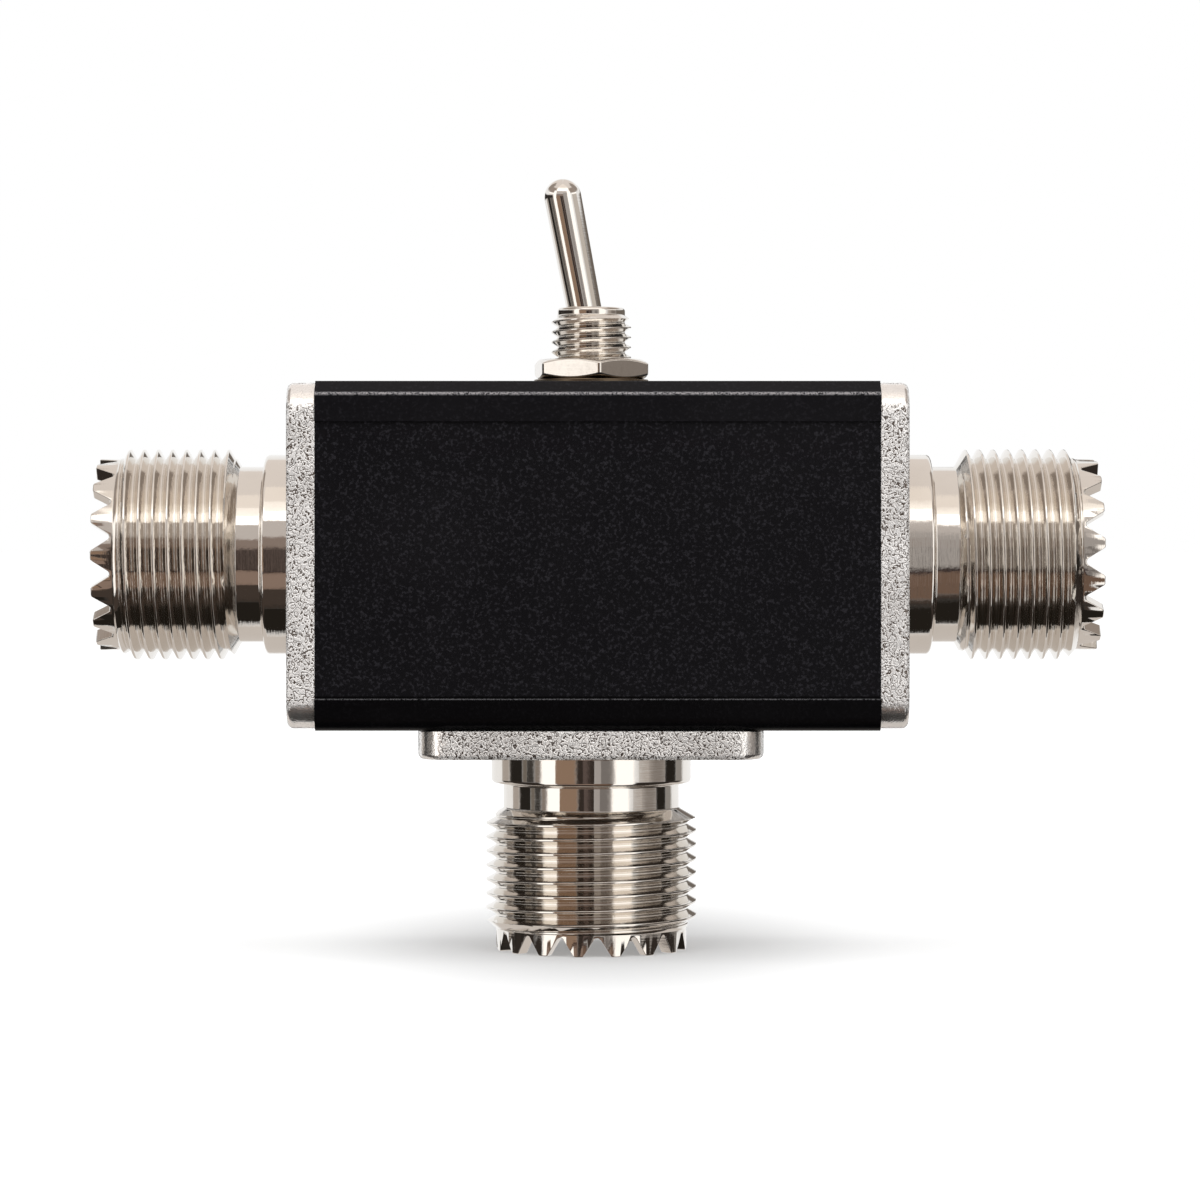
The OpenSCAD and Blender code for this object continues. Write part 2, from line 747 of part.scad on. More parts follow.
module rocker_contact() {
    color([0.85, 0.8, 0.65]) at_switch(rocker_z) rotate([0, rocker_tilt, 0]) {
        for (side = [0, 1])
            mirror([side, 0, 0]) rotate([0, -rocker_rise, 0])
                translate([0, -rocker_w / 2, -rocker_t / 2])
                cube([rocker_half, rocker_w, rocker_t]);
        intersection() {
            rotate([90, 0, 0]) cylinder(r = knuckle_r, h = rocker_w, center = true);
            translate([0, 0, -knuckle_r])
                cube([2 * knuckle_r, rocker_w, 2 * knuckle_r], center = true);
        }
    }
}

module terminal(place, head_z) {
    color([0.82, 0.78, 0.66]) at_switch(0) translate([place, 0, 0]) difference() {
        union() {
            translate([-lug_t / 2, -lug_w / 2, lug_z + lug_w / 2])
                cube([lug_t, lug_w, floor_z - lug_z - lug_w / 2]);
            translate([0, 0, lug_z + lug_w / 2]) rotate([0, 90, 0])
                cylinder(r = lug_w / 2, h = lug_t, center = true);
            translate([-head_t / 2, -head_w / 2, floor_z])
                cube([head_t, head_w, head_z - floor_z]);
        }
        translate([0, 0, lug_hole_z]) rotate([0, 90, 0])
            cylinder(r = lug_hole_r, h = lug_t + 2 * cut, center = true);
        translate([0, 0, rocker_z]) rotate([90, 0, 0])
            cylinder(r = knuckle_r + fit_gap, h = head_w + 2 * cut, center = true);
    }
}

module common_terminal() {
    terminal(0, rocker_z - seat_drop);
}

module left_terminal() {
    terminal(-lug_pitch, pad_z);
}

module right_terminal() {
    terminal(lug_pitch, pad_z);
}

// Spring and wires: one tube each, swept along points that a formula gives

function unit(v) = v / norm(v);

function tangent(points, i) =
    unit(points[min(i + 1, len(points) - 1)] - points[max(i - 1, 0)]);

function ring(point, along, side, r, sides) =
    let (e1 = unit(side - along * (side * along)), e2 = cross(along, e1))
    [for (k = [0 : sides - 1])
        point + r * (cos(k * 360 / sides) * e1 + sin(k * 360 / sides) * e2)];

module tube(points, side_of, r, sides) {
    rings = len(points);
    last = (rings - 1) * sides;
    polyhedron(
        points = [for (i = [0 : rings - 1])
            each ring(points[i], tangent(points, i), side_of[i], r, sides)],
        faces = concat(
            [[for (k = [0 : sides - 1]) k]],
            [for (i = [0 : rings - 2], k = [0 : sides - 1])
                let (a = i * sides + k, b = i * sides + (k + 1) % sides)
                each [[a, a + sides, b], [b, a + sides, b + sides]]],
            [[for (k = [0 : sides - 1]) last + sides - 1 - k]]));
}

// The spring's ends turn along the axis and meet the bore's end and the plunger squarely
spring_count = spring_turns * spring_rings;
spring_straight = 2 * spring_wire_r;
spring_rise = (spring_to - spring_from - 4 * spring_straight) / spring_count;
spring_points = concat(
    [[spring_r, 0, -spring_from]],
    [for (i = [0 : spring_count])
        let (a = i * 360 / spring_rings)
        [spring_r * cos(a), spring_r * sin(a),
            -spring_from - 2 * spring_straight - i * spring_rise]],
    [[spring_r, 0, -spring_to]]);
spring_sides_of = [for (p = spring_points) unit([p[0], p[1], 0])];
spring_least = min([for (i = [1 : spring_count - spring_rings],
    j = [i + spring_rings - 2 : spring_count])
    norm(spring_points[i] - spring_points[j])]) - 2 * spring_wire_r;
echo(spring_least_gap = spring_least);

module plunger_spring() {
    color([0.6, 0.6, 0.62]) at_lever()
        tube(spring_points, spring_sides_of, spring_wire_r, spring_sides);
}

// A wire's route lies in the plane y = 0, as pairs of x and z
function eased(from, to) =
    [for (i = [0 : bend_steps])
        [from[0] + (to[0] - from[0]) * i / bend_steps,
         from[1] + (to[1] - from[1]) * (1 - cos(180 * i / bend_steps)) / 2]];

module wire(route) {
    color([0.75, 0.7, 0.6])
        tube([for (p = route) [p[0], 0, p[1]]], [for (p = route) [0, 1, 0]], wire_r, wire_sides);
}

module side_wire(lug_x, out) {
    cup_x = out * (housing_l / 2 - cup_out);
    from_x = cup_x - out * cup_lead;
    to_x = lug_x + out * lug_lead;
    wire(concat([[cup_x + out * cup_hold, axis_z], [cup_x, axis_z]],
        eased([from_x, axis_z], [to_x, lug_hole_z]),
        [[lug_x, lug_hole_z], [lug_x - out * (lug_t / 2 + wire_past), lug_hole_z]]));
}

module left_wire() {
    side_wire(-port_shift - lug_pitch, -1);
}

module right_wire() {
    side_wire(lug_pitch - port_shift, 1);
}

module common_wire() {
    x = -port_shift;
    cup_top = housing_z + cup_out;
    wire(concat([[x, cup_top - cup_hold]],
        [for (p = eased([cup_top, x], [lug_hole_z - hook_r, x + hook_reach])) [p[1], p[0]]],
        [for (a = [30 : 30 : 90])
            [x + hook_reach - hook_r * (1 - cos(a)), lug_hole_z - hook_r * (1 - sin(a))]],
        [[x, lug_hole_z], [x - lug_t / 2 - wire_past, lug_hole_z]]));
}

// Solder: a plug in each cup and a cone on each side of a terminal

module cup_solder() {
    color([0.7, 0.7, 0.7]) translate([0, 0, cup_u]) difference() {
        cylinder(r = cup_r - fit_gap, h = cup_d);
        translate([0, 0, -cut]) cylinder(r = wire_r + fit_gap, h = cup_hold + cut);
    }
}

module lug_solder(place) {
    color([0.7, 0.7, 0.7]) at_switch(lug_hole_z) translate([place, 0, 0])
        for (side = [-90, 90])
            rotate([0, side, 0]) translate([0, 0, lug_t / 2]) difference() {
                cylinder(r1 = fillet_r, r2 = wire_r + 2 * fit_gap, h = fillet_l);
                translate([0, 0, -cut])
                    cylinder(r = wire_r + fit_gap, h = fillet_l + 2 * cut);
            }
}

module solder_joints() {
    at_left_port() cup_solder();
    at_right_port() cup_solder();
    at_common_port() cup_solder();
    for (i = [-1, 0, 1]) lug_solder(i * lug_pitch);
}

housing_tube();
left_port_shell();
left_port_insulator();
left_port_contact();
left_port_screws();
right_port_shell();
right_port_insulator();
right_port_contact();
right_port_screws();
common_port_shell();
common_port_insulator();
common_port_contact();
common_port_screws();
switch_bushing();
switch_frame();
switch_case();
toggle_lever();
plunger();
plunger_spring();
rocker_contact();
common_terminal();
left_terminal();
right_terminal();
panel_nut();
flat_washer();
lock_washer();
back_nut();
left_wire();
right_wire();
common_wire();
solder_joints();
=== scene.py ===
"""Visual model of a two-way coaxial antenna switch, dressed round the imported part.

Lengths in the classes are millimetres, apart from a finish's grain and WELD, which are
metres, and a density, which is a noise scale per metre. Meshes are written in metres.
Every port is built along its own axis, with u = 0 at the outer face of its flange, and
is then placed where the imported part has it.
"""

import json
import logging
import math
from dataclasses import dataclass, field
from enum import Enum
from typing import Callable, Iterable, Sequence

import bmesh
import bpy
from mathutils import Matrix, Vector, geometry

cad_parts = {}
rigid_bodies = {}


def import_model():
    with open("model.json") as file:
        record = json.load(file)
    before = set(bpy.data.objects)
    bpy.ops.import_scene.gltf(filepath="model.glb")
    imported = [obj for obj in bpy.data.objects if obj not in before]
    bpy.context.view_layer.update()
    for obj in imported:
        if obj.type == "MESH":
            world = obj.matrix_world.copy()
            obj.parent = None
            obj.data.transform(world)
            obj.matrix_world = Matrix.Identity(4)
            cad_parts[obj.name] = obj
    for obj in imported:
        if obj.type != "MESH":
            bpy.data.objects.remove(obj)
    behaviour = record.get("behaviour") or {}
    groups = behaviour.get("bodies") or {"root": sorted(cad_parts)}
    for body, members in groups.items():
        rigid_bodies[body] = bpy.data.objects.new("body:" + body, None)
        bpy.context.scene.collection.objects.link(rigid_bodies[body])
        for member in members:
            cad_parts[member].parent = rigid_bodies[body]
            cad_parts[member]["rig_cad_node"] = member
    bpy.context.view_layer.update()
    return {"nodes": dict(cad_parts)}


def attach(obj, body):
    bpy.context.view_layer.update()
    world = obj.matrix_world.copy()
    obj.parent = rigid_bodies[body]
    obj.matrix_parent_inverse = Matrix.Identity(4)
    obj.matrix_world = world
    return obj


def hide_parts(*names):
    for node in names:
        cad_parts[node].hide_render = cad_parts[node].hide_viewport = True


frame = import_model()

LOG = logging.getLogger("antenna_switch")
MM = 0.001
PHOTO_SIDE = 1200
WELD = 2e-7
PACKED_WELD = 1e-6
FLAT_ANGLE = 0.6
AXIS_R = 0.0005
SUNK = 0.02
MIX_COLOURS = (6, 7)
MIX_RESULT = 2

Colour = tuple[float, float, float]
Ring = list[tuple[float, float, float]]


class Body(Enum):
    """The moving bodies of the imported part."""

    HOUSING = "housing"
    LEVER = "lever"


class Side(Enum):
    """The three ports, by where they sit."""

    LEFT = "left_port"
    RIGHT = "right_port"
    COMMON = "common_port"


class Turning(Enum):
    """The axis that a turned piece was spun about, as a share of each coordinate."""

    ALONG_X = (1.0, 0.03, 0.03)
    ALONG_Z = (0.03, 0.03, 1.0)
    NONE = (1.0, 1.0, 1.0)


# Node groups.


@dataclass
class Sheet:
    """A small helper that adds and joins the nodes of one tree."""

    tree: bpy.types.NodeTree

    def add(self, kind: str, **values: object) -> bpy.types.Node:
        """Adds a node.

        Args:
            kind: The node's type, without the word Node in front.
            values: Properties of the node to set.

        Returns:
            The new node.
        """
        node = self.tree.nodes.new(kind)
        for name, value in values.items():
            setattr(node, name, value)
        return node

    def feed(self, node: bpy.types.Node, socket: int | str, value: object) -> None:
        """Links a socket to an input, or writes a plain value into it.

        Args:
            node: The node that receives.
            socket: Name or index of its input.
            value: An output socket, a number or a tuple.
        """
        if isinstance(value, bpy.types.NodeSocket):
            self.tree.links.new(value, node.inputs[socket])
        else:
            node.inputs[socket].default_value = value

    def math(self, work: str, *terms: object) -> bpy.types.NodeSocket:
        """Adds a Math node over the given terms and returns its output."""
        node = self.add("ShaderNodeMath", operation=work)
        for i, term in enumerate(terms):
            self.feed(node, i, term)
        return node.outputs[0]

    def vector(self, work: str, *terms: object) -> bpy.types.NodeSocket:
        """Adds a Vector Math node over the given terms and returns its output."""
        node = self.add("ShaderNodeVectorMath", operation=work)
        for i, term in enumerate(terms):
            self.feed(node, i, term)
        return node.outputs[0]

    def vector_length(self, vector: bpy.types.NodeSocket) -> bpy.types.NodeSocket:
        """Returns the length of a vector."""
        node = self.add("ShaderNodeVectorMath", operation="LENGTH")
        self.feed(node, 0, vector)
        return node.outputs["Value"]

    def dot(self, first: object, second: object) -> bpy.types.NodeSocket:
        """Returns the dot product of two vectors."""
        node = self.add("ShaderNodeVectorMath", operation="DOT_PRODUCT")
        self.feed(node, 0, first)
        self.feed(node, 1, second)
        return node.outputs["Value"]

    def noise(self, at: object, scale: object, detail: float = 2.0,
              roughness: float = 0.5) -> bpy.types.NodeSocket:
        """Adds a Noise texture and returns its value."""
        node = self.add("ShaderNodeTexNoise")
        self.feed(node, "Vector", at)
        self.feed(node, "Scale", scale)
        self.feed(node, "Detail", detail)
        self.feed(node, "Roughness", roughness)
        return node.outputs["Fac"]

    def remap(self, value: object, low: object, high: object, to_low: object = 0.0,
              to_high: object = 1.0) -> bpy.types.NodeSocket:
        """Adds a smooth Map Range node and returns its output."""
        node = self.add("ShaderNodeMapRange", interpolation_type="SMOOTHSTEP")
        for i, term in enumerate((value, low, high, to_low, to_high)):
            self.feed(node, i, term)
        return node.outputs[0]

    def along(self, place: bpy.types.NodeSocket, axis: str) -> bpy.types.NodeSocket:
        """Returns one coordinate, X, Y or Z, of a place."""
        node = self.add("ShaderNodeSeparateXYZ")
        self.feed(node, 0, place)
        return node.outputs[axis]

    def mix(self, share: object, first: object, second: object) -> bpy.types.NodeSocket:
        """Mixes two colours and returns the result."""
        node = self.add("ShaderNodeMix", data_type="RGBA")
        self.feed(node, 0, share)
        for socket, colour in zip(MIX_COLOURS, (first, second)):
            if isinstance(colour, bpy.types.NodeSocket):
                self.feed(node, socket, colour)
            else:
                self.feed(node, socket, (*colour, 1.0))
        return node.outputs[MIX_RESULT]


@dataclass(frozen=True)
class Effect:
    """A shader node group with named sockets, made once and used by many finishes."""

    name: str
    inputs: tuple[tuple[str, str, float], ...]
    outputs: tuple[str, ...]
    fill: Callable[[Sheet, bpy.types.Node, bpy.types.Node], None]

    def group(self) -> bpy.types.NodeTree:
        """Returns the group, and builds it at its first use."""
        made = bpy.data.node_groups.get(self.name)
        if made:
            return made
        tree = bpy.data.node_groups.new(self.name, "ShaderNodeTree")
        for name, kind, value in self.inputs:
            socket = tree.interface.new_socket(name, in_out="INPUT", socket_type=kind)
            if kind == "NodeSocketFloat":
                socket.default_value = value
        for name in self.outputs:
            tree.interface.new_socket(name, in_out="OUTPUT", socket_type="NodeSocketFloat")
        self.fill(Sheet(tree), tree.nodes.new("NodeGroupInput"), tree.nodes.new("NodeGroupOutput"))
        return tree

    def place(self, sheet: Sheet, **values: object) -> bpy.types.Node:
        """Places the group in a material.

        Args:
            sheet: The material's sheet.
            values: Its inputs by name, with _ for a space.

        Returns:
            The group's node.
        """
        node = sheet.add("ShaderNodeGroup", node_tree=self.group())
        for name, value in values.items():
            sheet.feed(node, name.replace("_", " "), value)
        return node


def fill_turned(sheet: Sheet, into: bpy.types.Node, out: bpy.types.Node) -> None:
    """Fine rings that a cutting tool leaves, with a few deeper ones.

    Args:
        sheet: The group's sheet.
        into: Its input node, with the place, the axis and the density.
        out: Its output node, with the height and the tone.
    """
    wide_scale, ripple_scale = 0.17, 0.22
    fine_share, wide_share, ripple_share = 0.6, 0.4, 0.5
    tone_range = (0.3, 0.7)
    density = into.outputs["Density"]
    place = sheet.vector("MULTIPLY", into.outputs["Place"], into.outputs["Axis"])
    fine = sheet.noise(place, density, detail=3.0, roughness=0.6)
    wide = sheet.noise(place, sheet.math("MULTIPLY", density, wide_scale))
    rings = sheet.math("ADD", sheet.math("MULTIPLY", fine, fine_share),
                       sheet.math("MULTIPLY", wide, wide_share))
    ripple = sheet.noise(into.outputs["Place"], sheet.math("MULTIPLY", density, ripple_scale))
    sheet.feed(out, "Height", sheet.math("MULTIPLY_ADD", ripple, ripple_share, rings))
    sheet.feed(out, "Tone", sheet.remap(rings, *tone_range))


def fill_cast(sheet: Sheet, into: bpy.types.Node, out: bpy.types.Node) -> None:
    """The short raised worms and dark furrows of a cast skin.

    Args:
        sheet: The group's sheet.
        into: Its input node, with the place and the density.
        out: Its output node, with the height and the furrows' mask.
    """
    drift_scale, jitter_scale, swell_scale = 0.24, 0.9, 0.55
    drift_turn, jitter_turn, swell_share = 44.0, 13.0, 3.0
    furrow_range = (-0.95, -0.35)
    place = into.outputs["Place"]
    density = into.outputs["Density"]
    drift = sheet.noise(place, sheet.math("MULTIPLY", density, drift_scale), detail=1.5)
    jitter = sheet.noise(place, sheet.math("MULTIPLY", density, jitter_scale), detail=1.0)
    phase = sheet.math("MULTIPLY_ADD", drift, drift_turn,
                       sheet.math("MULTIPLY", jitter, jitter_turn))
    ridge = sheet.math("SINE", phase)
    swell = sheet.noise(place, sheet.math("MULTIPLY", density, swell_scale))
    sheet.feed(out, "Height", sheet.math("MULTIPLY_ADD", swell, swell_share, ridge))
    sheet.feed(out, "Furrows", sheet.remap(ridge, *furrow_range, 1.0, 0.0))


def fill_speckle(sheet: Sheet, into: bpy.types.Node, out: bpy.types.Node) -> None:
    """The fine leathery grain of a sprayed satin coat.

    Args:
        sheet: The group's sheet.
        into: Its input node, with the place and the density.
        out: Its output node, with the height and the fleck mask.
    """
    crease_scale, crease_share, fold_share = 0.6, 1.2, 0.8
    fleck_range = (0.5, 0.72)
    place = into.outputs["Place"]
    density = into.outputs["Density"]
    fold = sheet.noise(place, density, detail=3.0, roughness=0.65)
    wave = sheet.noise(place, sheet.math("MULTIPLY", density, crease_scale), detail=1.0)
    crease = sheet.math("ABSOLUTE", sheet.math("SUBTRACT", wave, 0.5))
    sheet.feed(out, "Height", sheet.math("ADD", sheet.math("MULTIPLY", crease, crease_share),
                                         sheet.math("MULTIPLY", fold, fold_share)))
    sheet.feed(out, "Flecks", sheet.remap(fold, *fleck_range))


def fill_handling(sheet: Sheet, into: bpy.types.Node, out: bpy.types.Node) -> None:
    """Soft clouds where a surface was touched.

    Args:
        sheet: The group's sheet.
        into: Its input node, with the place and the density.
        out: Its output node, with the clouds.
    """
    cloud_range = (0.42, 0.66)
    cloud = sheet.noise(into.outputs["Place"], into.outputs["Density"], detail=4.0, roughness=0.6)
    sheet.feed(out, "Clouds", sheet.remap(cloud, *cloud_range))


PLACE = ("Place", "NodeSocketVector", 0.0)
TURNED = Effect("Turned rings", (PLACE, ("Axis", "NodeSocketVector", 0.0),
                                 ("Density", "NodeSocketFloat", 9000.0)),
                ("Height", "Tone"), fill_turned)
CAST = Effect("Cast skin", (PLACE, ("Density", "NodeSocketFloat", 2600.0)),
              ("Height", "Furrows"), fill_cast)
SPECKLE = Effect("Coat grain", (PLACE, ("Density", "NodeSocketFloat", 3000.0)),
                 ("Height", "Flecks"), fill_speckle)
HANDLING = Effect("Handling marks", (PLACE, ("Density", "NodeSocketFloat", 90.0)),
                  ("Clouds",), fill_handling)


# Finishes.


@dataclass(frozen=True)
class Finish:
    """What every finish shares: a name, a colour and a gloss."""

    name: str
    colour: Colour
    worn: Colour
    roughness: float
    metallic: float = 1.0
    grain: float = 0.00001

    def start(self) -> tuple[bpy.types.Material, Sheet, bpy.types.Node, bpy.types.NodeSocket]:
        """Makes the empty material.

        Returns:
            The material, its sheet, its Principled node and the place on the piece.
        """
        material = bpy.data.materials.new(self.name)
        material.use_nodes = True
        sheet = Sheet(material.node_tree)
        shader = material.node_tree.nodes["Principled BSDF"]
        shader.inputs["Metallic"].default_value = self.metallic
        place = sheet.add("ShaderNodeTexCoord").outputs["Object"]
        return material, sheet, shader, place

    def bump(self, sheet: Sheet, shader: bpy.types.Node, height: object) -> None:
        """Adds a Bump node, as deep as the finish's grain, that feeds the shader.

        Args:
            sheet: The material's sheet.
            shader: Its Principled node.
            height: The height's socket.
        """
        node = sheet.add("ShaderNodeBump")
        sheet.feed(node, "Strength", 1.0)
        sheet.feed(node, "Distance", self.grain)
        sheet.feed(node, "Height", height)
        sheet.feed(shader, "Normal", node.outputs[0])


@dataclass(frozen=True)
class TurnedMetal(Finish):
    """Bright plated metal, turned on a lathe about one axis."""

    turning: Turning = Turning.ALONG_Z
    density: float = 9000.0
    handling: float = 110.0
    cloud_share: float = 0.35
    cloud_dull: float = 0.05
    ring_dull: tuple[float, float] = (0.7, 0.6)

    def build(self) -> bpy.types.Material:
        """Builds the material and returns it."""
        material, sheet, shader, place = self.start()
        rings = TURNED.place(sheet, Place=place, Axis=self.turning.value, Density=self.density)
        clouds = HANDLING.place(sheet, Place=place, Density=self.handling).outputs["Clouds"]
        worn = sheet.math("MULTIPLY", clouds, self.cloud_share)
        sheet.feed(shader, "Base Color", sheet.mix(worn, self.colour, self.worn))
        vary, least = (share * self.roughness for share in self.ring_dull)
        spread = sheet.math("MULTIPLY_ADD", rings.outputs["Tone"], vary, least)
        sheet.feed(shader, "Roughness", sheet.math(
            "MULTIPLY_ADD", clouds, self.cloud_dull, spread))
        self.bump(sheet, shader, rings.outputs["Height"])
        return material


@dataclass(frozen=True)
class CastMetal(Finish):
    """Plated metal with its cast skin left on the flats and its corners worn bright."""

    density: float = 5000.0
    middle: tuple[float, float, float] = (0.0, 0.0, 29.6)
    plane: tuple[float, float, float] = (0.0, 1.0, 1.0)
    corner: tuple[float, float] = (23.2, 23.6)
    corner_skin: float = 0.12
    handling: float = 160.0
    cloud_share: float = 0.2
    furrow_dull: float = 0.2

    def build(self) -> bpy.types.Material:
        """Builds the material and returns it."""
        material, sheet, shader, place = self.start()
        skin = CAST.place(sheet, Place=place, Density=self.density)
        clouds = HANDLING.place(sheet, Place=place, Density=self.handling).outputs["Clouds"]
        away = sheet.vector("ABSOLUTE", sheet.vector(
            "SUBTRACT", place, tuple(c * MM for c in self.middle)))
        start, full = (r * MM for r in self.corner)
        rough = sheet.remap(sheet.dot(away, self.plane), start, full, 1.0, self.corner_skin)
        furrows = sheet.math("MULTIPLY", skin.outputs["Furrows"], rough)
        shade = sheet.math("MAXIMUM", furrows, sheet.math("MULTIPLY", clouds, self.cloud_share))
        sheet.feed(shader, "Base Color", sheet.mix(shade, self.colour, self.worn))
        sheet.feed(shader, "Metallic", sheet.math(
            "SUBTRACT", 1.0, sheet.math("MULTIPLY", rough, 1.0 - self.metallic)))
        sheet.feed(shader, "Roughness", sheet.math(
            "MULTIPLY_ADD", furrows, self.furrow_dull, self.roughness))
        self.bump(sheet, shader, sheet.math("MULTIPLY", skin.outputs["Height"], rough))
        return material


@dataclass(frozen=True)
class Coat(Finish):
    """Satin sprayed coat with a fine grain, with bare-metal lines along its proud edges as
    painted highlights.

    The panel is the recessed band between two heights, where the flecks show most. The
    coat is painted lighter from the panel's lower edge up and darker in the low band
    beneath it, as painted light and shade. Each highlight line is its height, its half
    width and its strength.
    """

    density: float = 4200.0
    handling: float = 60.0
    gloss: float = 0.1
    fleck_panel: float = 0.8
    # fleck_top and fleck_low give more flecks from the panel's lower edge up than in the low band,
    # part of the painted light there
    fleck_top: float = 0.3
    fleck_low: float = 0.1
    # painted light: share of the lighter colour laid over the coat from the panel's lower edge up
    upper_light_share: float = 0.22
    cloud_share: float = 0.05
    cloud_dull: float = 0.08
    panel: tuple[float, float] = (19.43, 39.35)
    panel_edge: float = 0.06
    # painted highlights: the bare-metal colour and its lines at the top bevel's lower edge and at
    # the recess's lower ledge
    bare: Colour = (0.42, 0.41, 0.43)
    painted_highlight_lines: tuple[tuple[float, float, float], ...] = ((41.36, 0.16, 0.9), (19.22, 0.06, 0.3))
    highlight_fade: float = 0.3
    highlight_grain: float = 2.0
    highlight_speck_range: tuple[float, float] = (0.36, 0.6)
    proud_y: float = 12.35
    proud_fade: float = 0.05

    def paint_highlight_lines(self, sheet: Sheet, place: bpy.types.NodeSocket,
            height: bpy.types.NodeSocket) -> bpy.types.NodeSocket:
        """Speckled lines where the coat has worn off an edge.

        Args:
            sheet: The material's sheet.
            place: The place on the piece.
            height: Its height.

        Returns:
            The share of bare metal in the painted highlights.
        """
        total = None
        for middle, half, strength in self.painted_highlight_lines:
            away = sheet.math("ABSOLUTE", sheet.math("SUBTRACT", height, middle * MM))
            line = sheet.remap(away, half * self.highlight_fade * MM, half * MM, strength, 0.0)
            total = line if total is None else sheet.math("MAXIMUM", total, line)
        grain = sheet.noise(place, self.density * self.highlight_grain, detail=3.0, roughness=0.6)
        specks = sheet.remap(grain, *self.highlight_speck_range)
        depth = sheet.along(sheet.vector("ABSOLUTE", place), "Y")
        outside = sheet.remap(depth, (self.proud_y - self.proud_fade) * MM, self.proud_y * MM)
        return sheet.math("MULTIPLY", sheet.math("MULTIPLY", total, specks), outside)

    def build(self) -> bpy.types.Material:
        """Builds the material and returns it."""
        material, sheet, shader, place = self.start()
        shader.inputs["Specular IOR Level"].default_value = self.gloss
        grain = SPECKLE.place(sheet, Place=place, Density=self.density)
        clouds = HANDLING.place(sheet, Place=place, Density=self.handling).outputs["Clouds"]
        height = sheet.along(place, "Z")
        low, high, edge = (v * MM for v in (*self.panel, self.panel_edge))
        # painted light and shade: lighter from the panel's lower edge up, darker in the low band
        # beneath it
        painted_light_mask = sheet.remap(height, low - edge, low + edge)
        inside = sheet.math("MULTIPLY", painted_light_mask, sheet.remap(
            height, high - edge, high + edge, 1.0, 0.0))
        amount = sheet.math("MULTIPLY_ADD", inside, self.fleck_panel, sheet.math(
            "MULTIPLY_ADD", painted_light_mask, self.fleck_top, self.fleck_low))
        upper_light_and_handling = sheet.math("MULTIPLY_ADD", painted_light_mask, self.upper_light_share, sheet.math(
            "MULTIPLY", clouds, self.cloud_share))
        share = sheet.math("MULTIPLY_ADD", grain.outputs["Flecks"], amount, upper_light_and_handling)
        # painted highlight: bare metal mixed into the coat along the edge lines
        bare = self.paint_highlight_lines(sheet, place, height)
        coat = sheet.mix(share, self.colour, self.worn)
        sheet.feed(shader, "Base Color", sheet.mix(bare, coat, self.bare))
        sheet.feed(shader, "Metallic", bare)
        sheet.feed(shader, "Roughness", sheet.math(
            "MULTIPLY_ADD", clouds, self.cloud_dull, self.roughness))
        self.bump(sheet, shader, grain.outputs["Height"])
        return material


@dataclass(frozen=True)
class Moulded(Finish):
    """Moulded or machined plastic with faint flow clouds and a soft grain."""

    density: float = 700.0
    handling: float = 90.0
    fleck_dull: float = 0.12
    under_skin: float = 0.0
    skin_radius: Colour = (1.0, 0.9, 0.8)
    skin_depth: float = 0.4

    def build(self) -> bpy.types.Material:
        """Builds the material and returns it."""
        material, sheet, shader, place = self.start()
        grain = SPECKLE.place(sheet, Place=place, Density=self.density)
        clouds = HANDLING.place(sheet, Place=place, Density=self.handling).outputs["Clouds"]
        sheet.feed(shader, "Base Color", sheet.mix(clouds, self.colour, self.worn))
        sheet.feed(shader, "Roughness", sheet.math(
            "MULTIPLY_ADD", grain.outputs["Flecks"], self.fleck_dull, self.roughness))
        shader.inputs["Subsurface Weight"].default_value = self.under_skin
        shader.inputs["Subsurface Radius"].default_value = self.skin_radius
        shader.inputs["Subsurface Scale"].default_value = self.skin_depth * MM
        self.bump(sheet, shader, grain.outputs["Height"])
        return material


NICKEL: Colour = (0.80, 0.765, 0.72)
NICKEL_DULL: Colour = (0.70, 0.66, 0.61)

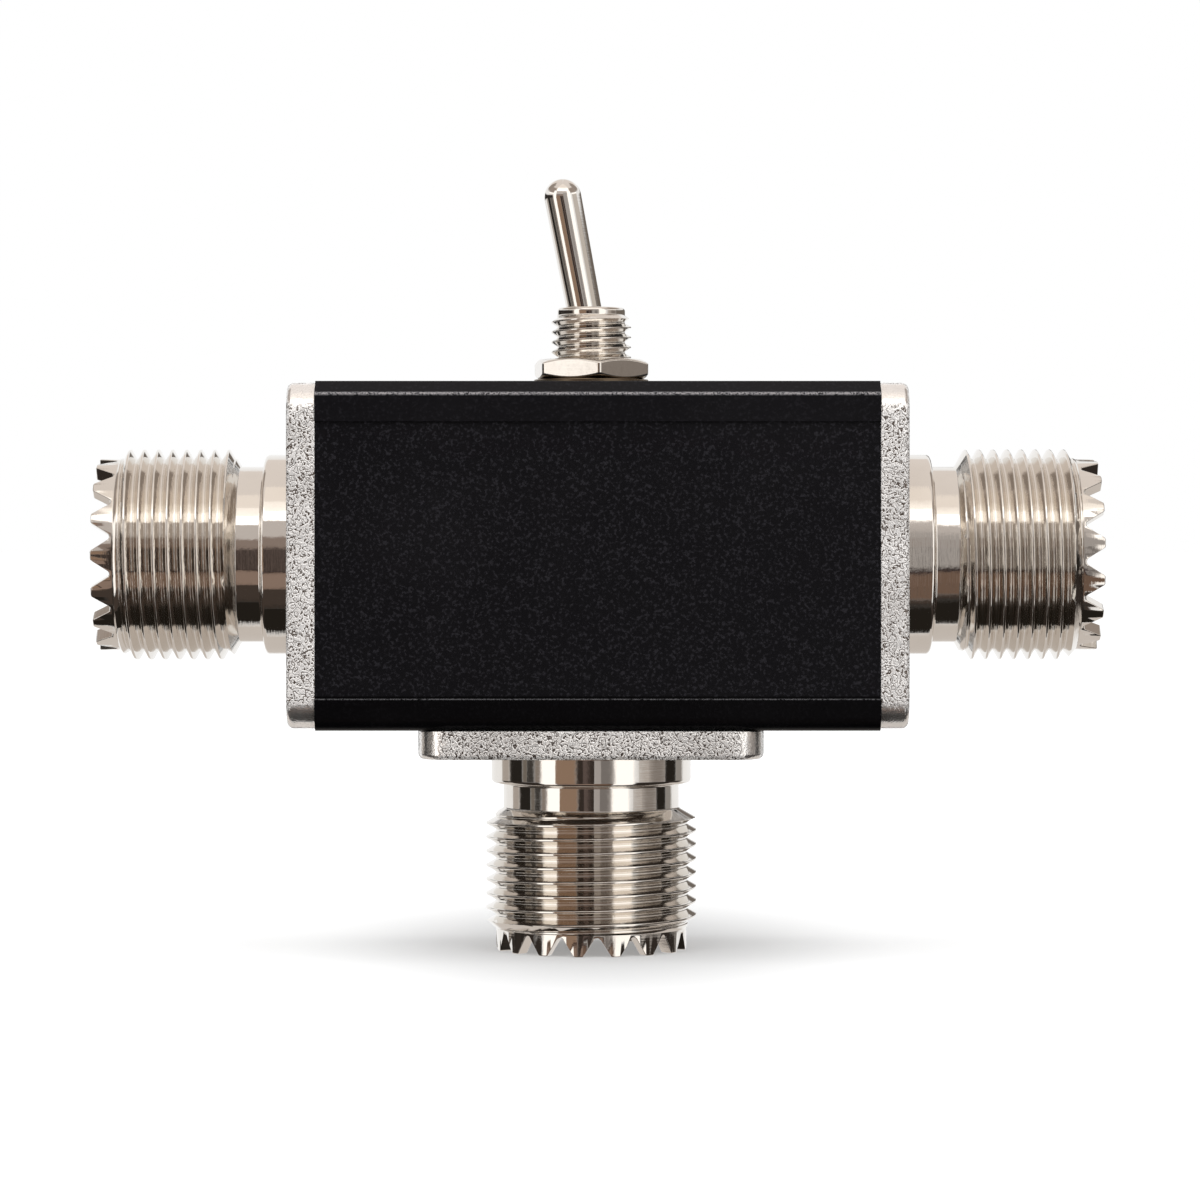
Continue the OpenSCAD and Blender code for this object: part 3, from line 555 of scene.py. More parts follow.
FINISHES: dict[str, Finish] = {
    "nickel_x": TurnedMetal("Nickel turned along X", NICKEL, NICKEL_DULL, 0.06,
                            grain=0.000011, turning=Turning.ALONG_X),
    "nickel_z": TurnedMetal("Nickel turned along Z", NICKEL, NICKEL_DULL, 0.06,
                            grain=0.000008, turning=Turning.ALONG_Z),
    "cast_x": CastMetal("Nickel over cast brass, end plates", (0.97, 0.955, 0.94),
                        (0.1, 0.075, 0.06), 0.16, metallic=0.42, grain=0.000016),
    "cast_z": CastMetal("Nickel over cast brass, bottom plate", (0.95, 0.935, 0.915),
                        (0.08, 0.06, 0.05), 0.16, metallic=0.55, grain=0.000016,
                        middle=(-0.5, 0.0, 0.0), plane=(1.0, 1.0, 0.0)),
    "lever": TurnedMetal("Bright lever plate", (0.82, 0.79, 0.75), (0.74, 0.7, 0.66), 0.06,
                         grain=0.000003, turning=Turning.ALONG_Z),
    # painted shade: the washer's colour is darkened for the shadow it sits in under the nut
    "washer": TurnedMetal("Washer plate darkened as painted shade", (0.2, 0.15, 0.1), (0.14, 0.11, 0.08), 0.3,
                          grain=0.000002, turning=Turning.ALONG_Z),
    "gold": TurnedMetal("Contact plate", (0.83, 0.66, 0.34), (0.72, 0.56, 0.3), 0.2,
                        grain=0.000002, turning=Turning.ALONG_X),
    "zinc": TurnedMetal("Zinc plate", (0.62, 0.63, 0.64), (0.5, 0.5, 0.5), 0.3,
                        grain=0.000003, turning=Turning.NONE, density=2500.0),
    "spring": TurnedMetal("Spring wire", (0.6, 0.6, 0.6), (0.5, 0.5, 0.48), 0.25,
                          grain=0.000001, turning=Turning.NONE),
    "silver": TurnedMetal("Silver plate", (0.84, 0.83, 0.8), (0.62, 0.58, 0.5), 0.25,
                          grain=0.000002, turning=Turning.NONE, density=3000.0),
    "tinned": TurnedMetal("Tinned copper", (0.74, 0.71, 0.68), (0.64, 0.58, 0.52), 0.28,
                          grain=0.000003, turning=Turning.NONE, density=2500.0),
    "solder": TurnedMetal("Solder", (0.66, 0.66, 0.67), (0.5, 0.5, 0.51), 0.35,
                          grain=0.00001, turning=Turning.NONE, density=900.0),
    # the black coat's second colour makes its flecks and also the painted lighter band over most of
    # its face
    "black": Coat("Black satin coat", (0.0013, 0.0012, 0.0017), (0.019, 0.018, 0.0215), 0.3,
                  metallic=0.0, grain=0.00001),
    "white": Moulded("White fluoropolymer", (0.86, 0.85, 0.81), (0.8, 0.785, 0.74), 0.38,
                     metallic=0.0, grain=0.000004, under_skin=0.3),
    "red": Moulded("Dark red thermoset", (0.3, 0.035, 0.025), (0.24, 0.03, 0.025), 0.5,
                   metallic=0.0, grain=0.000006),
}
_MATERIALS: dict[str, bpy.types.Material] = {}


def finish(name: str) -> bpy.types.Material:
    """Returns the named finish's material, and builds it at its first use."""
    if name not in _MATERIALS:
        _MATERIALS[name] = FINISHES[name].build()
    return _MATERIALS[name]


# Meshes.


@dataclass
class RingMesh:
    """A skin over closed rings of points, each ring with the same number of points."""

    rows: list[Ring] = field(default_factory=list)

    def lathe(self, outline: Iterable[tuple[float, float]], angles: Sequence[float]) -> None:
        """Adds one ring for each (radius, height) of an outline."""
        for r, u in outline:
            self.rows.append([(r * math.cos(a), r * math.sin(a), u) for a in angles])

    def build(self, name: str, place: Matrix, closed: bool = True,
              seam: tuple[int, int, int] = (0, 0, 0)) -> bpy.types.Object:
        """Skins the rings.

        Args:
            name: The piece's name.
            place: From the piece's own millimetres to the row frame's millimetres.
            closed: Whether the last ring joins the first, as round a tube.
            seam: First ring, last ring and shift of the span where the last column
                meets the first one some rings further on, as on a screw thread.

        Returns:
            The new object.
        """
        count, width = len(self.rows), len(self.rows[0])
        points = [(place @ Vector(p)) * MM for row in self.rows for p in row]
        faces = []
        pairs = [(m, (m + 1) % count) for m in range(count if closed else count - 1)]
        for m, n in pairs:
            for c in range(width - 1):
                faces.append((m * width + c, m * width + c + 1, n * width + c + 1, n * width + c))
        begin, end, step = seam
        for m, n in pairs:
            shift = step if begin <= m < end else 0
            if shift and n + shift > end:
                continue
            faces.append((m * width + width - 1, (m + shift) * width,
                          (n + shift) * width, n * width + width - 1))
        mesh = bpy.data.meshes.new(name)
        mesh.from_pydata(points, [], faces)
        return finish_mesh(name, mesh)


def finish_mesh(name: str, mesh: bpy.types.Mesh, sharp: float = 50.0) -> bpy.types.Object:
    """Welds a mesh, turns its faces outwards, smooths it and makes its object.

    Args:
        name: The piece's name.
        mesh: The mesh to tidy.
        sharp: Angle in degrees from which an edge stays sharp.

    Returns:
        The new object.
    """
    work = bmesh.new()
    work.from_mesh(mesh)
    bmesh.ops.remove_doubles(work, verts=work.verts, dist=WELD)
    bmesh.ops.dissolve_degenerate(work, edges=work.edges, dist=WELD)
    bmesh.ops.recalc_face_normals(work, faces=work.faces)
    work.to_mesh(mesh)
    work.free()
    for polygon in mesh.polygons:
        polygon.use_smooth = True
    mesh.set_sharp_from_angle(angle=math.radians(sharp))
    piece = bpy.data.objects.new(name, mesh)
    bpy.context.scene.collection.objects.link(piece)
    return piece


def arc(centre: tuple[float, float], radius: float, start: float, end: float,
        steps: int) -> list[tuple[float, float]]:
    """Points along an arc, angles in degrees, as (radius, height) pairs."""
    turn = [math.radians(start + (end - start) * i / steps) for i in range(steps + 1)]
    return [(centre[0] + radius * math.cos(a), centre[1] + radius * math.sin(a)) for a in turn]


def soften(piece: bpy.types.Object, width: float, angle: float) -> None:
    """Gives a piece small rounded edges with a Bevel modifier.

    Args:
        piece: The piece.
        width: The bevel's width in millimetres.
        angle: Angle in degrees from which an edge is rounded.
    """
    bevel = piece.modifiers.new("rounded edges", "BEVEL")
    bevel.width = width * MM
    bevel.segments = 2
    bevel.limit_method = "ANGLE"
    bevel.angle_limit = math.radians(angle)


def recut(node: str, name: str, width: float, sharp: float = 30.0) -> bpy.types.Object:
    """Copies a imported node's mesh, joins its flat faces again and rounds its edges.

    Args:
        node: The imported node.
        name: The new piece's name.
        width: Width of its rounded edges in millimetres.
        sharp: Angle in degrees from which an edge is rounded.

    Returns:
        The new piece, which stands for the node.
    """
    mesh = bpy.data.meshes.new(name)
    work = bmesh.new()
    work.from_mesh(frame["nodes"][node].data)
    bmesh.ops.remove_doubles(work, verts=work.verts, dist=PACKED_WELD)
    bmesh.ops.dissolve_limit(work, angle_limit=math.radians(FLAT_ANGLE), verts=work.verts,
                             edges=work.edges)
    work.to_mesh(mesh)
    work.free()
    piece = finish_mesh(name, mesh, sharp=sharp)
    soften(piece, width, sharp)
    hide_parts(node)
    return piece


def dress(piece: bpy.types.Object, look: str, body: Body = Body.HOUSING) -> None:
    """Gives a piece its finish and the body that it rides on."""
    even = piece.modifiers.new("even shading", "WEIGHTED_NORMAL")
    even.mode = "FACE_AREA_WITH_ANGLE"
    even.keep_sharp = True
    piece.data.materials.clear()
    piece.data.materials.append(finish(look))
    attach(piece, body.value)
    LOG.info("%s: %d faces, %s", piece.name, len(piece.data.polygons), look)


@dataclass
class Thread:
    """A right-handed screw thread between two heights."""

    crest_r: float
    depth: float
    pitch: float
    start: float
    end: float
    phase: float
    lead_in: tuple[tuple[float, float], ...]
    shares: tuple[tuple[float, float], ...] = (
        (0.0, 0.0), (0.035, 0.0), (0.075, 0.05), (0.095, 0.103), (0.395, 0.897),
        (0.415, 0.95), (0.44, 0.99), (0.46, 1.0), (0.54, 1.0), (0.56, 0.99),
        (0.585, 0.95), (0.605, 0.897), (0.905, 0.103), (0.925, 0.05), (0.965, 0.0))

    def envelope(self, u: float) -> float:
        """Greatest radius that the blank has at height u."""
        points = self.lead_in
        for (u0, r0), (u1, r1) in zip(points, points[1:]):
            if u <= u1:
                return r0 + (r1 - r0) * max(0.0, (u - u0) / (u1 - u0))
        return points[-1][1]

    def add_to(self, skin: RingMesh, angles: Sequence[float]) -> tuple[int, int, int]:
        """Adds the thread's rings to a skin.

        Args:
            skin: The skin to add to.
            angles: The skin's columns, rising, from 0 to a full turn.

        Returns:
            The seam: first ring, last ring and the shift across the seam.
        """
        per_turn = len(self.shares)
        first_turn = math.floor((self.start - self.phase) / self.pitch) - 2
        last_turn = math.ceil((self.end - self.phase) / self.pitch) + 1
        begin = len(skin.rows)
        for turn in range(first_turn, last_turn + 1):
            for share, height in self.shares:
                ring = []
                for a in angles:
                    at = self.phase + (turn + share - 0.5 + a / math.tau) * self.pitch
                    u = min(max(at, self.start), self.end)
                    r = min(self.crest_r - self.depth * (1 - height), self.envelope(u))
                    if u != at:
                        r = self.envelope(u)
                    ring.append((r * math.cos(a), r * math.sin(a), u))
                skin.rows.append(ring)
        return begin, len(skin.rows) - 1, per_turn


# Ports.


@dataclass
class Port:
    """One threaded coaxial port: flange, barrel, insulator, contact and screws.

    Names ending in r, l, t, d and u are a radius, a length, a thickness, a depth and a
    place along the port's axis. The flange's rims are pairs of an inset and a rise from
    its back, or shares of its bevel at its front.
    """

    side: Side
    origin: tuple[float, float, float]
    tilt: Matrix
    turn: float
    phase: float
    turned_look: str
    cast_look: str
    shell_l: float = 14.8
    flange_half: float = 12.6
    flange_r: float = 2.4
    flange_t: float = 2.1
    flange_bevel: float = 0.4
    rim_back: tuple[tuple[float, float], ...] = ((0.1, 0.0), (0.03, 0.03), (0.0, 0.1))
    rim_front: tuple[tuple[float, float], ...] = (
        (0.0, 1.0), (0.12, 0.62), (0.4, 0.24), (0.75, 0.04), (1.1, 0.0))
    collar_r: float = 7.5
    collar_l: float = 2.3
    neck_r: float = 6.6
    neck_l: float = 2.0
    crest_r: float = 7.9
    thread_d: float = 0.71
    pitch: float = 1.058
    tip_r: float = 7.15
    tip_l: float = 1.6
    bore_r: float = 6.1
    stem_r: float = 4.87
    hub_r: float = 5.9
    hub_l: float = 1.8
    seat_u: float = 0.5
    teeth: int = 16
    tooth_h: float = 1.4
    tooth_tip: float = 0.7
    root_r: float = 0.3
    root_shares: tuple[float, ...] = (0.5, 0.85)
    tooth_corner: tuple[float, float] = (0.1, 0.22)
    edge_share: float = 1.3
    edge_round: tuple[tuple[float, float], ...] = ((0.0, 1.0), (0.3, 0.3), (1.0, 0.0))
    edge: float = 0.07
    hold: float = 0.07
    hub_chamfer: float = 0.3
    toe_r: float = 0.3
    fillet_r: float = 0.3
    neck_chamfer: float = 0.1
    neck_gap: float = 0.15
    thread_lead: float = 0.1
    thread_foot: float = 0.05
    thread_rise: float = 0.62
    thread_fall: float = 0.68
    tip_gap: float = 0.05
    tip_step: float = 0.06
    screw_place: float = 9.13
    screw_r: float = 1.6
    head_r: float = 2.8
    head_land: float = 0.2
    head_chamfer: float = 0.05
    hole_steps: int = 48
    contact_edge: float = 0.04
    soft_edge: float = 0.05

    @property
    def place(self) -> Matrix:
        """From the port's own millimetres to the row frame's."""
        return Matrix.Translation(self.origin) @ self.tilt

    def gap_columns(self) -> list[tuple[float, float, float]]:
        """The columns of one gap between two teeth.

        Returns:
            For each column its place across the gap, its share of the way from the
            gap's edge to the middle of the tooth, and its depth below the tip.
        """
        half = (math.tau * self.tip_r / self.teeth - self.tooth_tip) / 2
        root = self.root_r - self.tooth_h
        lean = math.atan2(-root, -half) + math.acos(self.root_r / math.hypot(half, root))
        foot = (-self.root_r * math.cos(lean), root + self.root_r * math.sin(lean))
        flank = (half - foot[0], -foot[1])
        length = math.hypot(*flank)
        step = self.edge * self.edge_share
        shoulder = (half - flank[0] / length * step, -flank[1] / length * step)
        corner = (half + step * self.tooth_corner[0], -step * self.tooth_corner[1])
        right = [(0.0, root - self.root_r)]
        straight_down = math.radians(270)
        for share in self.root_shares:
            a = straight_down + (math.tau - lean + math.pi - straight_down) * share
            right.append((self.root_r * math.cos(a), root + self.root_r * math.sin(a)))
        right.append(foot)
        right.append(((foot[0] + half) / 2, foot[1] / 2))
        right += [shoulder, corner, (half + step, 0.0)]
        both = [(-x, d) for x, d in reversed(right[1:])] + right
        return [(x, 0.0, d) for x, d in both] + [(0.0, 1.0, 0.0)]

    def columns(self) -> tuple[list[tuple[float, float, float, int]], list[float]]:
        """Every column round the port, sorted by its angle on the tip ring.

        Returns:
            The columns as (place across, share, depth, gap's number), and their angles.
        """
        found = []
        for k in range(self.teeth):
            for x, share, depth in self.gap_columns():
                found.append(((x, share, depth, k), self.angle_of(x, share, k, self.tip_r)))
        found.sort(key=lambda pair: pair[1] % math.tau)
        return [c for c, _ in found], [a % math.tau for _, a in found]

    def angle_of(self, x: float, share: float, gap: int, r: float) -> float:
        """Angle of a column at a radius: a gap's flanks are planes, not radii."""
        middle = math.radians(self.turn) + (gap + 0.5) * math.tau / self.teeth
        if share:
            return middle + math.pi / self.teeth
        return middle + math.asin(x / r)

    def tooth_ring(self, columns: Sequence[tuple[float, float, float, int]], r: float,
                   below: float) -> Ring:
        """A ring at one radius that follows the teeth, some way below their top."""
        ring = []
        for x, share, depth, gap in columns:
            a = self.angle_of(x, share, gap, r)
            ring.append((r * math.cos(a), r * math.sin(a), self.shell_l + depth - below))
        return ring

    def barrel(self) -> bpy.types.Object:
        """Builds the turned barrel with its thread and teeth."""
        columns, angles = self.columns()
        skin = RingMesh()
        hub_u = -self.flange_t - self.hub_l
        toe, fillet, hold, bevel = self.toe_r, self.fillet_r, self.hold, self.neck_chamfer
        thread_u = self.collar_l + self.neck_l
        skin.lathe([(self.stem_r, self.seat_u), (self.stem_r, hub_u),
                    (self.hub_r - self.hub_chamfer, hub_u),
                    (self.hub_r, hub_u + self.hub_chamfer), (self.hub_r, -SUNK),
                    (self.collar_r + toe, -SUNK)], angles)
        skin.lathe(arc((self.collar_r + toe, toe), toe, 270, 180, steps=4), angles)
        skin.lathe([(self.collar_r, toe + hold),
                    (self.collar_r, self.collar_l - fillet - hold)], angles)
        skin.lathe(arc((self.collar_r - fillet, self.collar_l - fillet), fillet, 0, 90, steps=5),
                   angles)
        skin.lathe([(self.collar_r - fillet - hold, self.collar_l),
                    (self.neck_r + bevel + hold, self.collar_l),
                    (self.neck_r + bevel, self.collar_l), (self.neck_r, self.collar_l + bevel),
                    (self.neck_r, self.collar_l + bevel + hold),
                    (self.neck_r, thread_u - self.neck_gap - hold),
                    (self.neck_r, thread_u - self.neck_gap)], angles)
        tip_u = self.shell_l - self.tip_l
        start, end = thread_u - self.thread_lead, tip_u - self.tip_gap
        blank = ((start, self.neck_r + self.thread_foot),
                 (thread_u + self.thread_rise, self.crest_r),
                 (tip_u - self.thread_fall, self.crest_r), (end, self.tip_r + self.tip_step))
        thread = Thread(self.crest_r, self.thread_d, self.pitch, start, end, self.phase, blank)
        seam = thread.add_to(skin, angles)
        skin.lathe([(self.tip_r, tip_u)], angles)
        for inward, below in self.edge_round:
            skin.rows.append(self.tooth_ring(
                columns, self.tip_r - inward * self.edge, below * self.edge))
        for inward, below in reversed(self.edge_round):
            skin.rows.append(self.tooth_ring(
                columns, self.bore_r + inward * self.edge, below * self.edge))
        bore = [self.angle_of(x, share, gap, self.bore_r) for x, share, _, gap in columns]
        skin.lathe([(self.bore_r, tip_u)], bore)
        skin.lathe([(self.bore_r, self.seat_u)], angles)
        return skin.build(f"{self.side.value}_barrel", self.place, seam=seam)

    def outline(self, inset: float) -> list[tuple[float, float]]:
        """The flange's rounded square, drawn in by an inset."""
        half, r = self.flange_half, self.flange_r
        middle = half - r
        found = []
        for k, (x, y) in enumerate(((1, 1), (-1, 1), (-1, -1), (1, -1))):
            found += arc((x * middle, y * middle), r - inset, 90 * k, 90 * k + 90, steps=10)
        return found

    def flange(self) -> bpy.types.Object:
        """Builds the cast flange with its countersunk holes."""
        t, b = self.flange_t, self.flange_bevel
        points: list[tuple[float, float, float]] = []
        faces: list[tuple[int, ...]] = []

        def ring(flat: Sequence[tuple[float, float]], u: float) -> list[int]:
            """Adds one closed ring of points and returns their numbers."""
            start = len(points)
            points.extend((x, y, u) for x, y in flat)
            return list(range(start, start + len(flat)))

        def wall(first: Sequence[int], second: Sequence[int]) -> None:
            """Joins two rings with a band of faces."""
            for i in range(len(first)):
                j = (i + 1) % len(first)
                faces.append((first[i], first[j], second[j], second[i]))

        def lid(rings: Sequence[Sequence[int]]) -> None:
            """Closes the space between an outer ring and the rings inside it."""
            loops = [[Vector((*points[i][:2], 0.0)) for i in r] for r in rings]
            numbers = [i for r in rings for i in r]
            for tri in geometry.tessellate_polygon(loops):
                faces.append(tuple(numbers[i] for i in tri))

        rims = [(inset, rise - t) for inset, rise in self.rim_back]
        rims += [(b * inset, -b * down) for inset, down in self.rim_front]
        edge = [ring(self.outline(inset), u) for inset, u in rims]
        for first, second in zip(edge, edge[1:]):
            wall(first, second)
        back, front = [edge[0]], [edge[-1]]
        turns = [math.tau * i / self.hole_steps for i in range(self.hole_steps)]
        spots = [(0.0, 0.0, ((self.hub_r + SUNK, 0.0), (self.hub_r + SUNK, -t)))]
        land, narrow = self.head_land, self.head_r - self.screw_r
        for x in (-self.screw_place, self.screw_place):
            for y in (-self.screw_place, self.screw_place):
                spots.append((x, y, ((self.head_r + self.head_chamfer, 0.0),
                                     (self.head_r, -self.head_chamfer),
                                     (self.head_r, -land), (self.screw_r, -land - narrow),
                                     (self.screw_r, -t))))
        for x, y, profile in spots:
            rings = [ring([(x + r * math.cos(a), y + r * math.sin(a)) for a in turns], u)
                     for r, u in profile]
            for first, second in zip(rings, rings[1:]):
                wall(first, second)
            front.append(rings[0])
            back.append(rings[-1])
        lid(front)
        lid(back)
        mesh = bpy.data.meshes.new(f"{self.side.value}_flange")
        mesh.from_pydata([(self.place @ Vector(p)) * MM for p in points], [], faces)
        return finish_mesh(f"{self.side.value}_flange", mesh, sharp=35.0)

    def build(self) -> None:
        """Builds and dresses every piece of the port."""
        name = self.side.value
        barrel = self.barrel()
        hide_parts(f"{name}_shell")
        dress(barrel, self.turned_look)
        flange = self.flange()
        dress(flange, self.cast_look)
        insulator = recut(f"{name}_insulator", f"{name}_insulator_turned", self.soft_edge)
        dress(insulator, "white")
        contact = recut(f"{name}_contact", f"{name}_contact_turned", self.contact_edge)
        dress(contact, "gold")
        screws = recut(f"{name}_screws", f"{name}_screws_turned", self.soft_edge)
        dress(screws, "zinc")


# Housing.


@dataclass
class Housing:
    """The black extruded box."""

    edge: float = 0.12
    half: float = 12.7
    top: float = 42.3
    corner_r: float = 1.0
    bevel: float = 0.93
    bevel_r: float = 0.16
    bevel_turn: tuple[float, float] = (0.09, 0.27)
    bevel_run: float = 0.4
    bevel_step: float = 0.1
    recut_angle: float = 25.0
    slack: float = 0.01

    def bevel_point(self, share: float) -> tuple[float, float]:
        """A point of the narrow bevel along an upper edge.

        Args:
            share: How far round the corner, from 0 at the front to 1 at the top.

        Returns:
            Its distance inwards from the front and down from the top.
        """
        if share > 0.5:
            down, inward = self.bevel_point(1.0 - share)
            return inward, down
        if share < self.slack:
            return 0.0, self.corner_r
        begin, span = self.bevel_turn
        turn = math.radians(45) * min(1.0, max(0.0, (share - begin) / span))
        run = self.bevel_r * math.tan(math.radians(22.5))
        inward = self.bevel_r * (1 - math.cos(turn))
        down = self.bevel + run - self.bevel_r * math.sin(turn)
        if share > self.bevel_run:
            inward += self.bevel_step
            down -= self.bevel_step
        return inward, down

    def shape_edges(self, piece: bpy.types.Object) -> None:
        """Turns the two upper outer corners into narrow bevels with small round edges."""
        for vertex in piece.data.vertices:
            side = abs(vertex.co.y) / MM - self.half + self.corner_r
            rise = vertex.co.z / MM - self.top + self.corner_r
            if min(side, rise) < -self.slack or math.hypot(side, rise) < self.corner_r - self.slack:
                continue
            inward, down = self.bevel_point(math.atan2(rise, side) / math.radians(90))
            vertex.co.y = math.copysign((self.half - inward) * MM, vertex.co.y)
            vertex.co.z = (self.top - down) * MM

    def build(self) -> None:
        """Builds and dresses the housing."""
        shell = recut("housing_tube", "housing_box", self.edge, self.recut_angle)
        self.shape_edges(shell)
        dress(shell, "black")


# Toggle switch.


@dataclass
class Toggle:
    """The miniature toggle switch: bushing, nut, washer and lever.

    The bushing is built up from the switch's frame, the lever from the middle of its
    ball, and each nut from its lower face.
    """

    x: float = -0.5
    frame_z: float = 38.85
    bushing_l: float = 9.3
    bushing_steps: int = 128
    plate_t: float = 0.6
    bushing_r: float = 3.0
    thread_d: float = 0.46
    pitch: float = 0.75
    phase: float = 0.32
    lip: float = 0.6
    foot_r: float = 2.75
    foot_chamfer: float = 0.05
    foot_bore_r: float = 2.35
    thread_out: float = 0.3
    core_step: float = 0.03
    core_hold: float = 0.05
    mouth_round: float = 0.28
    mouth_chamfer: tuple[float, float] = (0.1, 0.08)
    seat_r: float = 2.0
    throat_r: float = 1.6
    throat_h: float = 1.2
    mouth_r: float = 2.1
    pivot_d: float = 2.9
    flare_d: float = 4.0
    top_z: float = 42.3
    washer_t: float = 0.45
    nut_t: float = 1.5
    nut_af: float = 8.0
    nut_turn: float = 38.0
    nut_slope: float = 25.0
    nut_side: tuple[float, ...] = (0.0, 1.1, 1.9, *range(4, 57, 4), 58.1, 58.9)
    nut_round: tuple[tuple[float, float], ...] = ((0.04, 0.0), (0.0, 0.05), (0.0, 0.11))
    nut_blunt: float = 0.05
    nut_bore_chamfer: float = 0.25
    face_share: float = 0.97
    bore_gap: float = 0.03
    washer_edge: float = 0.08
    lean: float = 10.8
    ball_r: float = 1.95
    root_r: float = 1.28
    tip_r: float = 1.4
    lever_l: float = 11.4
    lever_steps: int = 96
    dome_top: float = 88.0
    lever_rows: tuple[float, ...] = (0.8, 0.6, 0.4, 0.25)
    lever_meet: float = 0.02
    arm_r: float = 0.88
    arm_chamfer: float = 0.06
    arm_bore_chamfer: float = 0.04
    arm_bore_r: float = 0.55
    arm_l: float = 10.304
    arm_bore_d: float = 6.0

    def at(self, z: float) -> Matrix:
        """Place on the switch's upright axis."""
        return Matrix.Translation((self.x, 0.0, z))

    def bushing(self) -> bpy.types.Object:
        """Builds the threaded bushing, with its mouth and the seat of the ball."""
        turns = [math.tau * i / self.bushing_steps for i in range(self.bushing_steps)]
        skin = RingMesh()
        length, core = self.bushing_l, self.bushing_r - self.thread_d
        pivot = length - self.pivot_d
        skin.lathe([(self.foot_bore_r, -self.plate_t),
                    (self.foot_r - self.foot_chamfer, -self.plate_t),
                    (self.foot_r, self.foot_chamfer - self.plate_t),
                    (self.foot_r, -SUNK)], turns)
        end, step, hold = length - self.lip, self.core_step, self.core_hold
        thread = Thread(self.bushing_r, self.thread_d, self.pitch, 0.0, end, self.phase,
                        ((0.0, self.bushing_r), (end - self.thread_out, self.bushing_r),
                         (end, core + step)))
        seam = thread.add_to(skin, turns)
        bend = self.mouth_round
        skin.lathe([(core, end + step), (core, end + step + hold),
                    (core, length - bend - hold)], turns)
        skin.lathe(arc((core - bend, length - bend), bend, 0, 90, steps=7), turns)
        wide, deep = self.mouth_chamfer
        skin.lathe([(self.mouth_r + wide, length), (self.mouth_r, length - deep)], turns)
        skin.lathe([(self.throat_r, pivot + self.throat_h)], turns)
        start = math.degrees(math.asin(self.throat_h / self.seat_r))
        skin.lathe(arc((0.0, pivot), self.seat_r, start, 0, steps=8)[1:], turns)
        skin.lathe([(self.seat_r, pivot - self.flare_d)], turns)
        return skin.build("toggle_bushing", self.at(self.frame_z), seam=seam)

    def nut(self, name: str, z: float, turn: float) -> bpy.types.Object:
        """Builds a hexagon nut with both faces chamfered.

        Args:
            name: The piece's name.
            z: Height of its lower face.
            turn: Its turn about the axis, in degrees.

        Returns:
            The nut.
        """
        half = self.nut_af / 2
        face_r = half * self.face_share
        bore_r = self.bushing_r + self.bore_gap
        slope = math.tan(math.radians(self.nut_slope))
        angles = [math.radians(60 * k + a) for k in range(6) for a in self.nut_side]
        top, chamfer = self.nut_t, self.nut_bore_chamfer

        def side_r(a: float) -> float:
            """Radius of the hexagon at an angle, with its corners a little rounded."""
            flat = (a % (math.pi / 3)) - math.pi / 6
            return min(half / math.cos(flat), half / math.cos(math.pi / 6) - self.nut_blunt)

        def side_ring(inset: float, lift: float, upper: bool) -> Ring:
            """A ring round the flats, some way in from the lower or the upper chamfer."""
            ring = []
            for a in angles:
                r = side_r(a) - inset
                rise = (side_r(a) - face_r) * slope
                ring.append((r * math.cos(a), r * math.sin(a),
                             top - rise - lift if upper else rise + lift))
            return ring

        skin = RingMesh()
        skin.lathe([(bore_r, chamfer), (bore_r + chamfer, 0.0), (face_r, 0.0)], angles)
        skin.rows += [side_ring(*step, upper=False) for step in self.nut_round]
        skin.rows += [side_ring(*step, upper=True) for step in reversed(self.nut_round)]
        skin.lathe([(face_r, top), (bore_r + chamfer, top), (bore_r, top - chamfer)], angles)
        place = self.at(z) @ Matrix.Rotation(math.radians(turn), 4, "Z")
        return skin.build(name, place)

    def lever(self) -> bpy.types.Object:
        """Builds the lever: round tip, taper, pivot ball and hollow arm."""
        turns = [math.tau * i / self.lever_steps for i in range(self.lever_steps)]
        taper = math.degrees(math.asin((self.tip_r - self.root_r) / self.lever_l))
        outline = [(AXIS_R, self.lever_l + self.tip_r)]
        outline += arc((0.0, self.lever_l), self.tip_r, self.dome_top, -taper, steps=18)
        outline += [(self.root_r + (self.tip_r - self.root_r) * s, self.lever_l * s)
                    for s in self.lever_rows]
        meet = math.degrees(math.acos((self.root_r + self.lever_meet) / self.ball_r))
        low = -math.degrees(math.acos(self.arm_r / self.ball_r))
        outline += arc((0.0, 0.0), self.ball_r, meet, low, steps=20)
        foot = -self.arm_l
        outline += [(self.arm_r, foot + self.arm_chamfer), (self.arm_r - self.arm_chamfer, foot),
                    (self.arm_bore_r + self.arm_bore_chamfer, foot),
                    (self.arm_bore_r, foot + self.arm_bore_chamfer),
                    (self.arm_bore_r, foot + self.arm_bore_d), (AXIS_R, foot + self.arm_bore_d)]
        skin = RingMesh()
        skin.lathe(outline, turns)
        pivot_z = self.frame_z + self.bushing_l - self.pivot_d
        place = self.at(pivot_z) @ Matrix.Rotation(math.radians(-self.lean), 4, "Y")
        piece = skin.build("toggle_bat_lever", place, closed=False)
        work = bmesh.new()
        work.from_mesh(piece.data)
        bmesh.ops.holes_fill(work, edges=[e for e in work.edges if e.is_boundary], sides=0)
        bmesh.ops.recalc_face_normals(work, faces=work.faces)
        work.to_mesh(piece.data)
        work.free()
        return piece

    def build(self) -> None:
        """Builds and dresses the switch's pieces, outside and inside."""
        bushing = self.bushing()
        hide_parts("switch_bushing")
        dress(bushing, "nickel_z")
        nut = self.nut("toggle_panel_nut", self.top_z + self.washer_t, self.nut_turn)
        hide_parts("panel_nut")
        dress(nut, "nickel_z")
        back = self.nut("toggle_back_nut", self.frame_z, 0.0)
        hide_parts("back_nut")
        dress(back, "nickel_z")
        washer = recut("flat_washer", "toggle_washer", self.washer_edge)
        # painted shade: this finish is darkened for the shadow under the nut
        dress(washer, "washer")
        lever = self.lever()
        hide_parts("toggle_lever")
        dress(lever, "lever", Body.LEVER)


